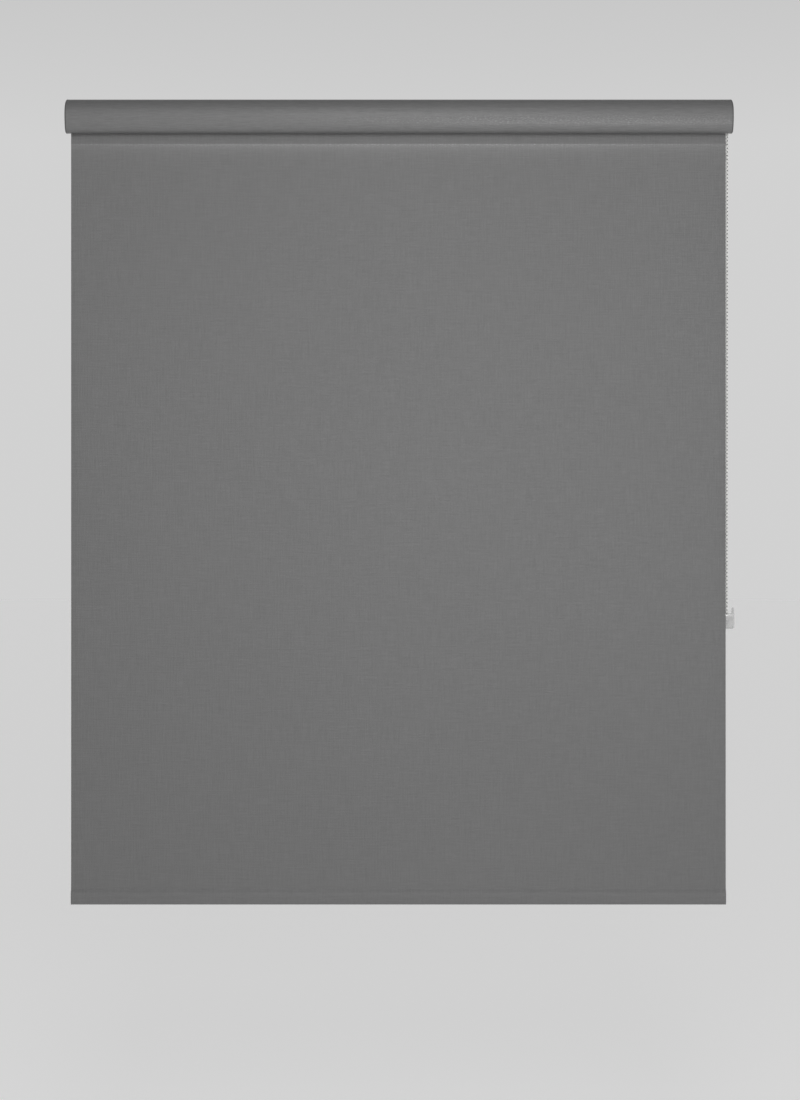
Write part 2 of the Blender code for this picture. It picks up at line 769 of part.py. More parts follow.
def make_tidy(mats):
    wall_in = TIDY_WALL_X - 0.0015
    middle = PULLEY_Z
    outline = stadium(TIDY_HALF_WIDTH, TIDY_BOTTOM, TIDY_TOP)
    base = add_object("tidy_base", prism_mesh("tidy_base", outline, wall_in, TIDY_WALL_X, 30), mats["clear_plastic"])
    cover_out = wall_in - GAP
    wall = 0.0011
    inset = stadium(TIDY_HALF_WIDTH - wall, TIDY_BOTTOM + wall, TIDY_TOP - wall)
    cover = add_object("tidy_cover", prism_mesh("tidy_cover", outline, TIDY_FRONT_X, cover_out, 30), mats["clear_plastic"])
    hollow = prism_mesh("tidy_hollow", inset, TIDY_FRONT_X + wall, cover_out + 0.002)
    combine(cover, helper("tidy_hollow", hollow), "DIFFERENCE")
    mouth = box_mesh("tidy_mouth", (TIDY_FRONT_X + wall, -0.020, middle + 0.0090), (cover_out + 0.002, 0.020, TIDY_TOP + 0.005))
    combine(cover, helper("tidy_mouth", mouth), "DIFFERENCE")
    for number, z in enumerate((TIDY_TOP - 0.0050, TIDY_BOTTOM + 0.0031)):
        hole = [(TIDY_FRONT_X - 0.002, 0), (TIDY_FRONT_X - 0.002, 0.0018), (TIDY_WALL_X + 0.002, 0.0018), (TIDY_WALL_X + 0.002, 0)]
        mesh = turned_mesh("tidy_screw_hole", hole, 16, closed=False)
        cutter = helper(f"tidy_screw_hole_{number + 1}", mesh, None, (0, 0, z))
        combine(base, cutter, "DIFFERENCE")
        combine(cover, cutter, "DIFFERENCE")
    axle = [
        (0.5252, 0),
        (0.5252, 0.0016),
        (0.5256, 0.0019),
        (0.5370, 0.0019),
        (0.5370, 0.0040),
        (wall_in - GAP, 0.0040),
        (wall_in - GAP, 0),
    ]
    mesh = turned_mesh("tidy_axle", axle, 16, closed=False)
    add_object("tidy_axle", mesh, mats["steel"], None, (0, 0, middle))
    holder = empty("pulley_axis", (0, 0, middle))
    outer = CHAIN_X + GROOVE_HALF + 0.0008
    inner = CHAIN_X - GROOVE_HALF - 0.0008
    floor = PULLEY_RADIUS - BEAD_RADIUS - 0.0004
    crown = PULLEY_RADIUS + 0.0012
    profile = [
        (0.5367, 0.0022),
        (0.5367, 0.0036),
        (outer, 0.0036),
        (outer, crown),
        (CHAIN_X + GROOVE_HALF, crown),
        (CHAIN_X + GROOVE_HALF, floor + 0.0011),
        (CHAIN_X + 0.0013, floor),
        (CHAIN_X - 0.0013, floor),
        (CHAIN_X - GROOVE_HALF, floor + 0.0011),
        (CHAIN_X - GROOVE_HALF, crown),
        (inner, crown),
        (inner, 0.0022),
    ]
    add_object("tidy_pulley", turned_mesh("tidy_pulley", profile, 24), mats["white_plastic"], holder)


def hem_path():
    """The pocket round the bottom bar, from the seam in front, under the bar and up behind it."""
    front = [(-y, z) for y, z in HEM_HALF]
    behind = [(y, z) for y, z in reversed(HEM_HALF[:-1])]
    return smooth_path(front + behind, 2)


def make_hanging_parts(mats):
    half = FABRIC_THICKNESS / 2
    sheet = box_mesh("fabric_sheet", (FABRIC_LEFT, SHEET_Y - half, SHEET_BOTTOM), (FABRIC_RIGHT, SHEET_Y + half, AXIS_Z))
    add_object("fabric_sheet", sheet, mats["fabric"])
    holder = empty("bottom_bar_lift", (0, SHEET_Y, HEM_Z))
    outer = hem_path()
    inner = offset_path(outer, HEM_SKIN)
    inner[0] = inner[0] - Vector((0, HEM_SKIN))
    inner[-1] = inner[-1] - Vector((0, HEM_SKIN))
    outline = [tuple(p) for p in outer]
    sleeve = ring_prism_mesh("hem_sleeve", outline, [tuple(p) for p in inner], FABRIC_LEFT, FABRIC_RIGHT)
    add_object("hem_sleeve", sleeve, mats["fabric"], holder)
    centre = (0, BAR_DROP)
    face = oval(BAR_HEIGHT, BAR_DEPTH, centre)
    bore = oval(BAR_HEIGHT - 0.0024, BAR_DEPTH - 0.0024, centre)
    bar = ring_prism_mesh("bottom_bar", face, bore, FABRIC_LEFT + 0.0020, FABRIC_RIGHT - 0.0020)
    add_object("bottom_bar", bar, mats["aluminium"], holder)
    for side, end, sign in (("left", FABRIC_LEFT, 1), ("right", FABRIC_RIGHT, -1)):
        spigot = oval(BAR_HEIGHT - 0.0030, BAR_DEPTH - 0.0030, centre)
        mesh = prism_mesh("bar_end_plug", face, end + sign * 0.0002, end + sign * 0.0018, 40)
        plug = add_object(f"bar_end_plug_{side}", mesh, mats["grey_plastic"], holder)
        tongue = prism_mesh("bar_end_spigot", spigot, end + sign * 0.0010, end + sign * 0.0140)
        combine(plug, helper(f"bar_end_spigot_{side}", tongue, holder), "UNION")


def make_materials():
    return {
        "fabric": material("blind_fabric", (0.17, 0.17, 0.17), 0.85),
        "aluminium": material("aluminium", (0.72, 0.73, 0.74), 0.35, 1.0),
        "steel": material("steel", (0.60, 0.60, 0.60), 0.30, 1.0),
        "zinc": material("zinc_plate", (0.62, 0.63, 0.65), 0.45, 1.0),
        "spring_steel": material("spring_steel", (0.45, 0.45, 0.46), 0.30, 1.0),
        "grey_plastic": material("grey_plastic", (0.13, 0.13, 0.13), 0.50),
        "black_plastic": material("black_plastic", (0.03, 0.03, 0.03), 0.50),
        "white_plastic": material("white_plastic", (0.70, 0.70, 0.68), 0.40),
        "bead_plastic": material("bead_plastic", (0.62, 0.62, 0.60), 0.35),
        "clear_plastic": material("clear_plastic", (0.80, 0.82, 0.82), 0.15, 0.0, 0.4),
    }


def main():
    clear_scene()
    mats = make_materials()
    roller_axis = empty("roller_axis", (0, 0, AXIS_Z))
    sprocket_axis = empty("sprocket_axis", (0, 0, AXIS_Z))
    pin_holder = empty("idle_pin_slide", (0, 0, AXIS_Z))
    make_fascia(mats)
    make_end_cap("left", -1, mats)
    right_cap = make_end_cap("right", 1, mats)
    make_right_end_details(right_cap, mats)
    make_clutch(mats, sprocket_axis)
    make_sprocket(mats, sprocket_axis)
    make_roller(mats, roller_axis)
    make_drive_plug(mats, roller_axis)
    make_idle_end(mats, roller_axis, pin_holder)
    for name, x in zip(BRACKET_NAMES, BRACKET_X):
        make_bracket(name, x, mats)
    make_chain(mats)
    make_chain_fittings(mats)
    make_tidy(mats)
    make_hanging_parts(mats)


main()
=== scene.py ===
# Roller blind in a cloth-covered cassette, with its ball chain and chain tidy.
# x runs along the cassette with the chain at +x, -y is the room, z is up, all in metres.
import math

import bmesh
import bpy
from mathutils import Matrix, Vector


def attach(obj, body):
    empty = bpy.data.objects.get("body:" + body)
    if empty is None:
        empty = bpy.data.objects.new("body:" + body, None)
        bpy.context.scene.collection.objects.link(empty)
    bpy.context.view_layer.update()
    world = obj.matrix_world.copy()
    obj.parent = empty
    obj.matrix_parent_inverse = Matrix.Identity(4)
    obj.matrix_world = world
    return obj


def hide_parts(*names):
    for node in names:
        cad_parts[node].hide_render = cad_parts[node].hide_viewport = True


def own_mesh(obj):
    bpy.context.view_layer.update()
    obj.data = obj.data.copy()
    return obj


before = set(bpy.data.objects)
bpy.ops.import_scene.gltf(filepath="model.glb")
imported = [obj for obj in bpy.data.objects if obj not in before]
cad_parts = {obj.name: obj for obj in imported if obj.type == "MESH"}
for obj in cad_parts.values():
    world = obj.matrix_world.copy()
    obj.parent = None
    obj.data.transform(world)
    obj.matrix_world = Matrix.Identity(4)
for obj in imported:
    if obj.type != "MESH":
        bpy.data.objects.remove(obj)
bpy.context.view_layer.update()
axisZ = -0.0335  # the tube, the sprocket and the idle pin all turn on this line
chainX = 0.5283  # the middle of the chain and of both its wheels
smoothBelow = 32  # edges that bend less than this many degrees are shaded smooth


def smoothCurve(points, steps):
    # Catmull-Rom through given points
    path = []
    last = len(points) - 1
    for i in range(last):
        a, b = Vector(points[max(i - 1, 0)]), Vector(points[i])
        c, d = Vector(points[i + 1]), Vector(points[min(i + 2, last)])
        for s in range(steps):
            t = s / steps
            path.append(0.5 * (2 * b + (c - a) * t + (2 * a - 5 * b + 4 * c - d) * t ** 2
                               + (3 * b - a - 3 * c + d) * t ** 3))
    path.append(Vector(points[last]))
    return path


def offsetCurve(path, distance):
    moved = []
    for i, point in enumerate(path):
        before = (point - path[i - 1]).normalized() if i > 0 else None
        after = (path[i + 1] - point).normalized() if i < len(path) - 1 else None
        alongIn, alongOut = before or after, after or before
        along = (alongIn + alongOut).normalized()
        moved.append(point + Vector((-along.y, along.x)) * distance / max(along.dot(alongIn), 0.5))
    return moved


def stripOutline(path, oneSide, otherSide):
    there, back = offsetCurve(path, oneSide), reversed(offsetCurve(path, otherSide))
    return [tuple(p) for p in there] + [tuple(p) for p in back]


def ringPoints(radius, count, centre=(0, 0), start=0.0, sweep=2 * math.pi):
    steps = count if abs(sweep) > 2 * math.pi - 1e-6 else count - 1
    return [(centre[0] + radius * math.cos(start + sweep * i / steps),
             centre[1] + radius * math.sin(start + sweep * i / steps)) for i in range(count)]


def finishMesh(bm, name, roundAngle):
    bmesh.ops.remove_doubles(bm, verts=bm.verts, dist=1e-7)
    bmesh.ops.recalc_face_normals(bm, faces=bm.faces)
    mesh = bpy.data.meshes.new(name)
    bm.to_mesh(mesh)
    bm.free()
    if roundAngle:
        mesh.shade_smooth()
        mesh.set_sharp_from_angle(angle=math.radians(roundAngle))
    return mesh


def extruded(name, outline, left, right, roundAngle=30):
    bm = bmesh.new()
    face = bm.faces.new([bm.verts.new((left, y, z)) for y, z in outline])
    grown = bmesh.ops.extrude_face_region(bm, geom=[face])["geom"]
    moved = [v for v in grown if isinstance(v, bmesh.types.BMVert)]
    bmesh.ops.translate(bm, verts=moved, vec=(right - left, 0, 0))
    return finishMesh(bm, name, roundAngle)


def insetOutline(outline, distance):
    # a closed outline moved inwards
    ring = [Vector(p) for p in outline]
    area = sum(a.x * b.y - b.x * a.y for a, b in zip(ring, ring[1:] + ring[:1]))
    moved = []
    for i, point in enumerate(ring):
        alongIn = (point - ring[i - 1]).normalized()
        alongOut = (ring[(i + 1) % len(ring)] - point).normalized()
        along = (alongIn + alongOut).normalized()
        across = Vector((-along.y, along.x)) * math.copysign(distance, area)
        moved.append(tuple(point + across / max(along.dot(alongIn), 0.5)))
    return moved


def roundedPlate(name, outline, inner, outer, radius, steps=6):
    # a flat plate whose outer edge is rounded over
    sign = math.copysign(1.0, outer - inner)
    sections = [(inner + sign * 0.0002, 0.0), (outer - sign * radius, 0.0)]
    for i in range(1, steps + 1):
        angle = math.pi / 2 * i / steps
        sections.append((outer - sign * radius * (1 - math.sin(angle)), radius * (1 - math.cos(angle))))
    sections.insert(0, (inner, 0.0002))
    bm = bmesh.new()
    rings = [[bm.verts.new((x, y, z)) for y, z in insetOutline(outline, inset)] for x, inset in sections]
    for near, far in zip(rings, rings[1:]):
        for i in range(len(outline)):
            j = (i + 1) % len(outline)
            bm.faces.new((near[i], near[j], far[j], far[i]))
    bm.faces.new(rings[0])
    bm.faces.new(rings[-1])
    return finishMesh(bm, name, smoothBelow)


def turned(name, profile, steps, closed=True):
    # profile of (x, radius) spun about x
    bm = bmesh.new()
    verts = [bm.verts.new((x, 0, radius)) for x, radius in profile]
    edges = [bm.edges.new(pair) for pair in zip(verts, verts[1:])]
    if closed:
        edges.append(bm.edges.new((verts[-1], verts[0])))
    bmesh.ops.spin(bm, geom=verts + edges, axis=(1, 0, 0), cent=(0, 0, 0), angle=2 * math.pi, steps=steps,
                   use_merge=True)
    bmesh.ops.dissolve_degenerate(bm, dist=1e-7, edges=bm.edges)
    return finishMesh(bm, name, smoothBelow)


def boxMesh(name, low, high):
    bm = bmesh.new()
    bmesh.ops.create_cube(bm, size=1.0)
    size = Vector(high) - Vector(low)
    bmesh.ops.scale(bm, verts=bm.verts, vec=size)
    bmesh.ops.translate(bm, verts=bm.verts, vec=Vector(low) + size / 2)
    return finishMesh(bm, name, 0)


def placed(mesh, matrix):
    mesh.transform(matrix)
    return mesh


def pathLength(path):
    return sum((b - a).length for a, b in zip(path, path[1:]))


def newObject(name, data):
    obj = bpy.data.objects.new(name, data)
    bpy.context.scene.collection.objects.link(obj)
    return obj


def shaped(obj, bevel=0.0, segments=2, cuts=(), joins=()):
    # bevel and booleans, applied, with the cutters thrown away
    if bevel:
        mod = obj.modifiers.new("softEdges", "BEVEL")
        mod.width, mod.segments = bevel, segments
        mod.limit_method, mod.angle_limit = "ANGLE", math.radians(40)
    helpers = []
    for meshes, operation in ((joins, "UNION"), (cuts, "DIFFERENCE")):
        for mesh in meshes:
            helper = newObject("helper", mesh)
            helpers.append(helper)
            mod = obj.modifiers.new(operation.lower(), "BOOLEAN")
            mod.operation, mod.solver, mod.object = operation, "EXACT", helper
    bpy.context.view_layer.update()
    mesh = bpy.data.meshes.new_from_object(obj.evaluated_get(bpy.context.evaluated_depsgraph_get()))
    obj.modifiers.clear()
    obj.data = mesh
    mesh.shade_smooth()
    mesh.set_sharp_from_angle(angle=math.radians(smoothBelow))
    for helper in helpers:
        bpy.data.objects.remove(helper, do_unlink=True)
    return obj


def dress(obj, material, body, slotName, *nodes):
    # finish a piece: its material, the body it moves with and the CAD nodes it stands for
    obj.data.materials.clear()
    obj.data.materials.append(material)
    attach(obj, body)
    if nodes:
        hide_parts(*nodes)
    return obj


class Nodes:  # a short way to write node trees
    def __init__(self, name):
        self.material = bpy.data.materials.new(name)
        self.material.use_nodes = True
        self.tree = self.material.node_tree
        self.shader = self.tree.nodes["Principled BSDF"]

    def add(self, kind, inputs=None, **settings):
        made = self.tree.nodes.new(kind)
        for key, value in settings.items():
            setattr(made, key, value)
        for key, value in (inputs or {}).items():
            self.feed(made.inputs[key], value)
        return made

    def feed(self, socket, value):
        if isinstance(value, bpy.types.NodeSocket):
            self.tree.links.new(value, socket)
        else:
            socket.default_value = value

    def maths(self, operation, a, b=0.0, c=None):
        made = self.add("ShaderNodeMath", operation=operation)
        self.feed(made.inputs[0], a)
        self.feed(made.inputs[1], b)
        if c is not None:
            self.feed(made.inputs[2], c)
        return made.outputs[0]

    def times(self, a, b):
        return self.maths("MULTIPLY", a, b)

    def plus(self, a, b):
        return self.maths("ADD", a, b)

    def brighten(self, colour, gain):
        made = self.add("ShaderNodeVectorMath", {0: colour, "Scale": gain}, operation="SCALE")
        return made.outputs["Vector"]

    def stretch(self, vector, scale):
        made = self.add("ShaderNodeMapping", {"Vector": vector, "Scale": scale})
        return made.outputs["Vector"]

    def noise(self, vector, scale, detail=2.0, roughness=0.5):
        made = self.add("ShaderNodeTexNoise", {"Vector": vector, "Scale": scale, "Detail": detail,
                                               "Roughness": roughness})
        return made.outputs["Fac"]

    def between(self, value, low, high, toLow, toHigh):
        made = self.add("ShaderNodeMapRange", {"Value": value, "From Min": low, "From Max": high,
                                               "To Min": toLow, "To Max": toHigh})
        return made.outputs["Result"]

    def blend(self, share, a, b):
        made = self.add("ShaderNodeMix", data_type="RGBA")
        self.feed(made.inputs["Factor"], share)
        self.feed(made.inputs["A"], a)
        self.feed(made.inputs["B"], b)
        return made.outputs["Result"]

    def bump(self, height, distance, strength=1.0, normal=None):
        inputs = {"Height": height, "Distance": distance, "Strength": strength}
        if normal is not None:
            inputs["Normal"] = normal
        return self.add("ShaderNodeBump", inputs).outputs["Normal"]

    def coat(self, **sockets):
        names = {"colour": "Base Color", "roughness": "Roughness", "metal": "Metallic", "normal": "Normal",
                 "specular": "Specular IOR Level", "sheen": "Sheen Weight", "sheenRoughness": "Sheen Roughness",
                 "alpha": "Alpha", "ior": "IOR", "gloss": "Coat Weight",
                 "glossRoughness": "Coat Roughness", "glow": "Emission Color",
                 "glowStrength": "Emission Strength"}
        for key, value in sockets.items():
            self.feed(self.shader.inputs[names[key]], value)
        return self.material


def rgb(level, warm=0.0):
    return (level * (1 + warm), level, level * (1 - warm), 1.0)


clothLook = {
    "yarn": 0.00062,        # spacing of the threads
    "light": 0.172,         # thread colour where it stands up
    "dark": 0.133,
    "slub": 0.16,           # how much the thick places in the threads show
    "roughness": 0.42,
    "sheen": 0.05,
    "pressedGloss": 0.165,  # extra gloss of the cloth pulled tight over the cassette
    "bellyHighlight": 0.50,    # painted highlight: how much lighter its cloth is drawn along the belly, in specks
    "foldZ": -0.0729,       # where the hanging cloth leaves the roll's curl
    "foldHighlightGain": 0.46,       # painted highlight: how much lighter the cloth is drawn just below that
    "foldFade": 0.0098,
    "foldGlintGain": 0.95,     # and the painted glints in specks among them
    "foldLine": 0.0030,
    # marks to the metre, across the cloth and down it
    "warpSlubs": (420.0, 26.0, 1.0),
    "weftSlubs": (30.0, 460.0, 1.0),
    "longSlubs": (9.0, 900.0, 1.0),
    # the dashes and specks below are painted glints
    "glintDashes": (55.0, 1300.0, 1.0),
    "glintSpecks": (250.0, 900.0, 1.0),
}


def clothMaterial(name, onCurve, gloss=0.0):
    # plain linen-like weave: warp and weft threads with thick places of their own, with painted highlights and
    # glints added in colour
    look = clothLook
    n = Nodes(name)
    if onCurve:
        coords = n.add("ShaderNodeUVMap", uv_map="thread").outputs["UV"]
    else:
        coords = n.add("ShaderNodeTexCoord").outputs["Object"]
    split = n.add("ShaderNodeSeparateXYZ", {"Vector": coords})
    across, down = split.outputs["X"], split.outputs["Y" if onCurve else "Z"]
    flat = n.add("ShaderNodeCombineXYZ", {"X": across, "Y": down, "Z": 0.0}).outputs["Vector"]

    def marks(kind, detail, roughness=0.5):
        return n.noise(n.stretch(flat, look[kind]), 1.0, detail, roughness)

    # thick and thin places, drawn out along each thread
    warpSlub, weftSlub = marks("warpSlubs", 3.0, 0.6), marks("weftSlubs", 3.0, 0.6)
    if gloss:  # pulled tight, the weft shows more than the warp
        warpSlub = n.between(warpSlub, 0.0, 1.0, 0.30, 0.70)
        weftSlub = n.between(weftSlub, 0.0, 1.0, -0.30, 1.30)
    crosshatch = n.plus(warpSlub, weftSlub)
    # the threads themselves
    turn = math.pi / look["yarn"]
    wobble = n.times(n.noise(flat, 90.0), 1.6)
    warpWave = n.maths("SINE", n.plus(n.times(across, turn), wobble))
    weftWave = n.maths("SINE", n.plus(n.times(down, turn), wobble))
    over = n.times(warpWave, weftWave)  # which thread lies on top
    warpHump = n.times(n.maths("ABSOLUTE", warpWave), n.between(over, -0.4, 0.4, 0.35, 1.0))
    weftHump = n.times(n.maths("ABSOLUTE", weftWave), n.between(over, -0.4, 0.4, 1.0, 0.35))
    weave = n.maths("MAXIMUM", warpHump, weftHump)
    thick = n.between(crosshatch, 0.72, 1.28, -look["slub"], look["slub"])
    height = n.plus(weave, thick)
    # a few long thick weft threads, and slow shade across the cloth from the dye
    longSlub = n.between(marks("longSlubs", 1.0), 0.70, 0.78, 0.0, 0.30)
    shade = n.times(n.maths("SUBTRACT", n.noise(flat, 3.2, 2.0), 0.5), 0.22)
    tone = n.plus(n.plus(n.between(height, 0.1, 1.2, 0.0, 1.0), longSlub), shade)
    tone = n.plus(tone, n.times(thick, 0.9))
    if gloss:  # painted glints: the weft threads are drawn lighter in short dashes
        tone = n.plus(tone, n.between(marks("glintDashes", 3.0, 0.6), 0.40, 0.66, -0.22, 0.62))
    colour = n.blend(tone, rgb(look["dark"]), rgb(look["light"]))
    glintSpecks = n.between(marks("glintSpecks", 2.0), 0.50, 0.66, 0.0, 1.0)
    if gloss:  # painted highlight: lighter specks along the belly of the cassette, more towards the control end
        aboveEdge, belowEdge = n.between(down, 0.046, 0.057, 0.0, 1.0), n.between(down, 0.062, 0.070, 1.0, 0.0)
        wearAndSheen = n.times(n.times(aboveEdge, belowEdge), n.between(across, -0.24, 0.14, 0.0, 1.0))
        colour = n.brighten(colour, n.plus(1.0, n.times(n.times(wearAndSheen, glintSpecks), look["bellyHighlight"])))
    elif not onCurve:  # painted highlight: the cloth is drawn lighter just below where the hanging cloth leaves the roll's curl
        below = n.maths("SUBTRACT", look["foldZ"], down)

        def fading(distance):
            return n.maths("EXPONENT", n.times(below, -1.0 / distance))

        highlight = n.times(fading(look["foldFade"]), look["foldHighlightGain"])
        # painted glints in specks along the top of that painted highlight
        line = n.times(fading(look["foldLine"]), n.times(glintSpecks, look["foldGlintGain"]))
        middle = n.between(n.maths("ABSOLUTE", across), 0.26, 0.52, 1.0, 0.5)
        onset = n.between(below, -0.0003, 0.0007, 0.0, 1.0)
        foldHighlight = n.times(n.times(n.plus(highlight, line), middle), onset)
        colour = n.brighten(colour, n.plus(1.0, foldHighlight))
    rough = n.between(height, 0.0, 1.2, look["roughness"] + 0.10, look["roughness"] - 0.06)
    threads = n.bump(height, 0.00012, 0.55)
    normal = n.bump(crosshatch, 0.0012, 0.35, threads)
    if gloss:
        n.coat(gloss=gloss, glossRoughness=0.28)
    return n.coat(colour=colour, roughness=rough, normal=normal, specular=0.45, sheen=look["sheen"],
                  sheenRoughness=0.35)


def mouldedMaterial(name, light, dark, roughness, warm=0.0):
    # moulded plastic: fine spark grain, faint flow marks and rubbed places
    n = Nodes(name)
    coords = n.add("ShaderNodeTexCoord").outputs["Object"]
    spark = n.noise(coords, 1600.0, 3.0, 0.6)
    flow = n.noise(n.stretch(coords, (60.0, 22.0, 22.0)), 1.0, 3.0)
    wearAndSheen = n.between(n.noise(coords, 34.0, 4.0, 0.65), 0.52, 0.70, 0.0, 1.0)
    share = n.plus(n.times(flow, 0.8), n.times(wearAndSheen, 0.25))
    colour = n.blend(share, rgb(dark, warm), rgb(light, warm))
    grained = n.between(spark, 0.3, 0.7, roughness - 0.05, roughness + 0.08)
    rough = n.maths("SUBTRACT", grained, n.times(wearAndSheen, 0.08))
    return n.coat(colour=colour, roughness=rough, normal=n.bump(spark, 0.00004, 0.5), specular=0.45)


def metalMaterial(name, level, roughness, stretch):
    # drawn or turned metal: fine lines along the way it was worked
    n = Nodes(name)
    coords = n.add("ShaderNodeTexCoord").outputs["Object"]
    lines = n.noise(n.stretch(coords, stretch), 1.0, 4.0, 0.6)
    cloud = n.noise(coords, 26.0, 3.0)
    colour = n.blend(n.plus(n.times(lines, 0.5), n.times(cloud, 0.5)), rgb(level * 0.86), rgb(level))
    drawn = n.between(lines, 0.3, 0.7, roughness - 0.07, roughness + 0.07)
    rough = n.plus(drawn, n.between(cloud, 0.3, 0.7, -0.03, 0.05))
    return n.coat(colour=colour, roughness=rough, metal=1.0, normal=n.bump(lines, 0.00005, 0.35))


def zincMaterial(name):
    # zinc plate: soft spangle and a few handling scratches
    n = Nodes(name)
    coords = n.add("ShaderNodeTexCoord").outputs["Object"]
    spangle = n.add("ShaderNodeTexVoronoi", {"Vector": coords, "Scale": 420.0}).outputs["Color"]
    grey = n.add("ShaderNodeRGBToBW", {"Color": spangle}).outputs["Val"]
    scratch = n.between(n.noise(n.stretch(coords, (40.0, 2200.0, 40.0)), 1.0, 2.0), 0.66, 0.72, 0.0, 1.0)
    colour = n.blend(grey, (0.52, 0.53, 0.55, 1.0), (0.68, 0.69, 0.71, 1.0))
    rough = n.plus(n.between(grey, 0.0, 1.0, 0.34, 0.50), n.times(scratch, 0.12))
    normal = n.bump(n.maths("SUBTRACT", grey, scratch), 0.00003, 0.4)
    return n.coat(colour=colour, roughness=rough, metal=1.0, normal=normal)


def clearMaterial(name, tint):
    # clear polycarbonate with a faint ripple and dust-fine roughness
    n = Nodes(name)
    coords = n.add("ShaderNodeTexCoord").outputs["Object"]
    ripple = n.noise(coords, 180.0, 2.0)
    fine = n.noise(coords, 1500.0, 2.0)
    rough = n.between(fine, 0.3, 0.7, 0.08, 0.20)
    colour = n.blend(ripple, rgb(tint - 0.06), rgb(tint))
    return n.coat(colour=colour, roughness=rough, alpha=0.42, ior=1.5, normal=n.bump(ripple, 0.0002, 0.25))


def beadMaterial(name):
    # off-white beads, slightly cloudy, with the mould's parting line
    n = Nodes(name)
    coords = n.add("ShaderNodeTexCoord").outputs["Object"]
    across = n.add("ShaderNodeSeparateXYZ", {"Vector": coords}).outputs["X"]
    seam = n.maths("COMPARE", across, chainX, 0.00008)
    cloud = n.noise(coords, 150.0, 3.0)
    colour = n.blend(cloud, (0.78, 0.78, 0.76, 1.0), (0.86, 0.86, 0.84, 1.0))
    rough = n.between(cloud, 0.3, 0.7, 0.28, 0.42)
    return n.coat(colour=colour, roughness=rough, normal=n.bump(seam, 0.00008, 0.6), specular=0.5)


finish = {
    "cloth": clothMaterial("blindCloth", False),
    "wrappedCloth": clothMaterial("wrappedCloth", True),
    "pressedCloth": clothMaterial("pressedCloth", True, clothLook["pressedGloss"]),
    "capPlastic": mouldedMaterial("endCapPlastic", 0.125, 0.095, 0.46),
    "darkPlastic": mouldedMaterial("plugPlastic", 0.040, 0.026, 0.42),
    "palePlastic": mouldedMaterial("palePlastic", 0.70, 0.60, 0.36, warm=0.015),
    "tubeAluminium": metalMaterial("tubeAluminium", 0.72, 0.36, (3.0, 1500.0, 1500.0)),
    "steel": metalMaterial("turnedSteel", 0.60, 0.30, (1800.0, 14.0, 14.0)),
    "springWire": metalMaterial("springWire", 0.46, 0.30, (260.0, 260.0, 260.0)),
    "zinc": zincMaterial("zincPlate"),
    "clear": clearMaterial("clearPlastic", 0.74),
    "bead": beadMaterial("beadPlastic"),
    "cord": mouldedMaterial("cordNylon", 0.10, 0.06, 0.55),
}
print("finishes ready")

# the CAD pieces that keep their shape get these finishes
keptPieces = {
    "capPlastic": ["clutch_housing", "fabric_spline"],
    "darkPlastic": ["drive_plug", "idle_plug", "idle_plug_cap"],
    "palePlastic": ["bracket_cam_left", "bracket_cam_centre", "bracket_cam_right", "idle_bush"],
    "tubeAluminium": ["roller_tube", "bottom_bar"],
    "steel": ["clutch_post", "clutch_screw", "cam_rivet_left", "cam_rivet_centre", "cam_rivet_right",
              "idle_pin", "tidy_axle"],
    "springWire": ["clutch_circlip", "brake_spring_outer", "brake_spring_inner", "idle_spring"],
    "zinc": ["bracket_left", "bracket_centre", "bracket_right"],
}
for look, names in keptPieces.items():
    for name in names:
        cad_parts[name].material_slots[0].material = finish[look]
print("kept pieces finished")


cassette = {
    "halfWidth": 0.5338,
    "capThickness": 0.0018,
    "capRounding": 0.0014,  # radius of the caps' outer edge
    "capReach": 0.0008,     # how far the caps stand past the front's section
    "wall": 0.0015,
    "gap": 0.0002,
    "cloth": 0.0004,
    # section of the front, from the flange on top, over the bulge, to the lip underneath
    "face": [(-0.0080, -0.0015), (-0.0125, -0.0015), (-0.0190, -0.0028), (-0.0270, -0.0064), (-0.0335, -0.0120),
             (-0.0378, -0.0195), (-0.0394, -0.0280), (-0.0390, -0.0370), (-0.0374, -0.0460), (-0.0350, -0.0527),
             (-0.0318, -0.0562), (-0.0283, -0.0573), (-0.0240, -0.0573)],
    "ports": [(-0.0320, -0.0505, 0), (0.0248, -0.0320, 225), (-0.0240, -0.0122, 270)],  # y, z and opening
    "portOuter": 0.0030,
    "portInner": 0.0016,
}
facePath = smoothCurve(cassette["face"], 8)


def clothStrip(name, path, outside, inside, left, right, columns):
    # cloth laid along a section path, with thread lengths stored for the weave
    front, back = offsetCurve(path, outside), offsetCurve(path, inside)
    loop = front + list(reversed(back))
    lengths = [0.0]
    for a, b in zip(loop, loop[1:]):
        lengths.append(lengths[-1] + (b - a).length)
    bm = bmesh.new()
    thread = bm.loops.layers.uv.new("thread")
    rows = []
    for c in range(columns + 1):
        x = left + (right - left) * c / columns
        rows.append([bm.verts.new((x, p.x, p.y)) for p in loop])
    for c in range(columns):
        for i in range(len(loop)):
            j = (i + 1) % len(loop)
            face = bm.faces.new((rows[c][i], rows[c][j], rows[c + 1][j], rows[c + 1][i]))
            near = lengths[j] if j else lengths[i]
            ends = (lengths[i], near, near, lengths[i])
            for corner, along in zip(face.loops, ends):
                corner[thread].uv = (corner.vert.co.x, along)
    half = len(front)
    for row in (rows[0], rows[-1]):
        for i in range(half - 1):
            bm.faces.new((row[i], row[i + 1], row[len(loop) - 2 - i], row[len(loop) - 1 - i]))
    bmesh.ops.recalc_face_normals(bm, faces=bm.faces)
    mesh = bpy.data.meshes.new(name)
    bm.to_mesh(mesh)
    bm.free()
    mesh.shade_smooth()
    mesh.set_sharp_from_angle(angle=math.radians(50))
    return mesh


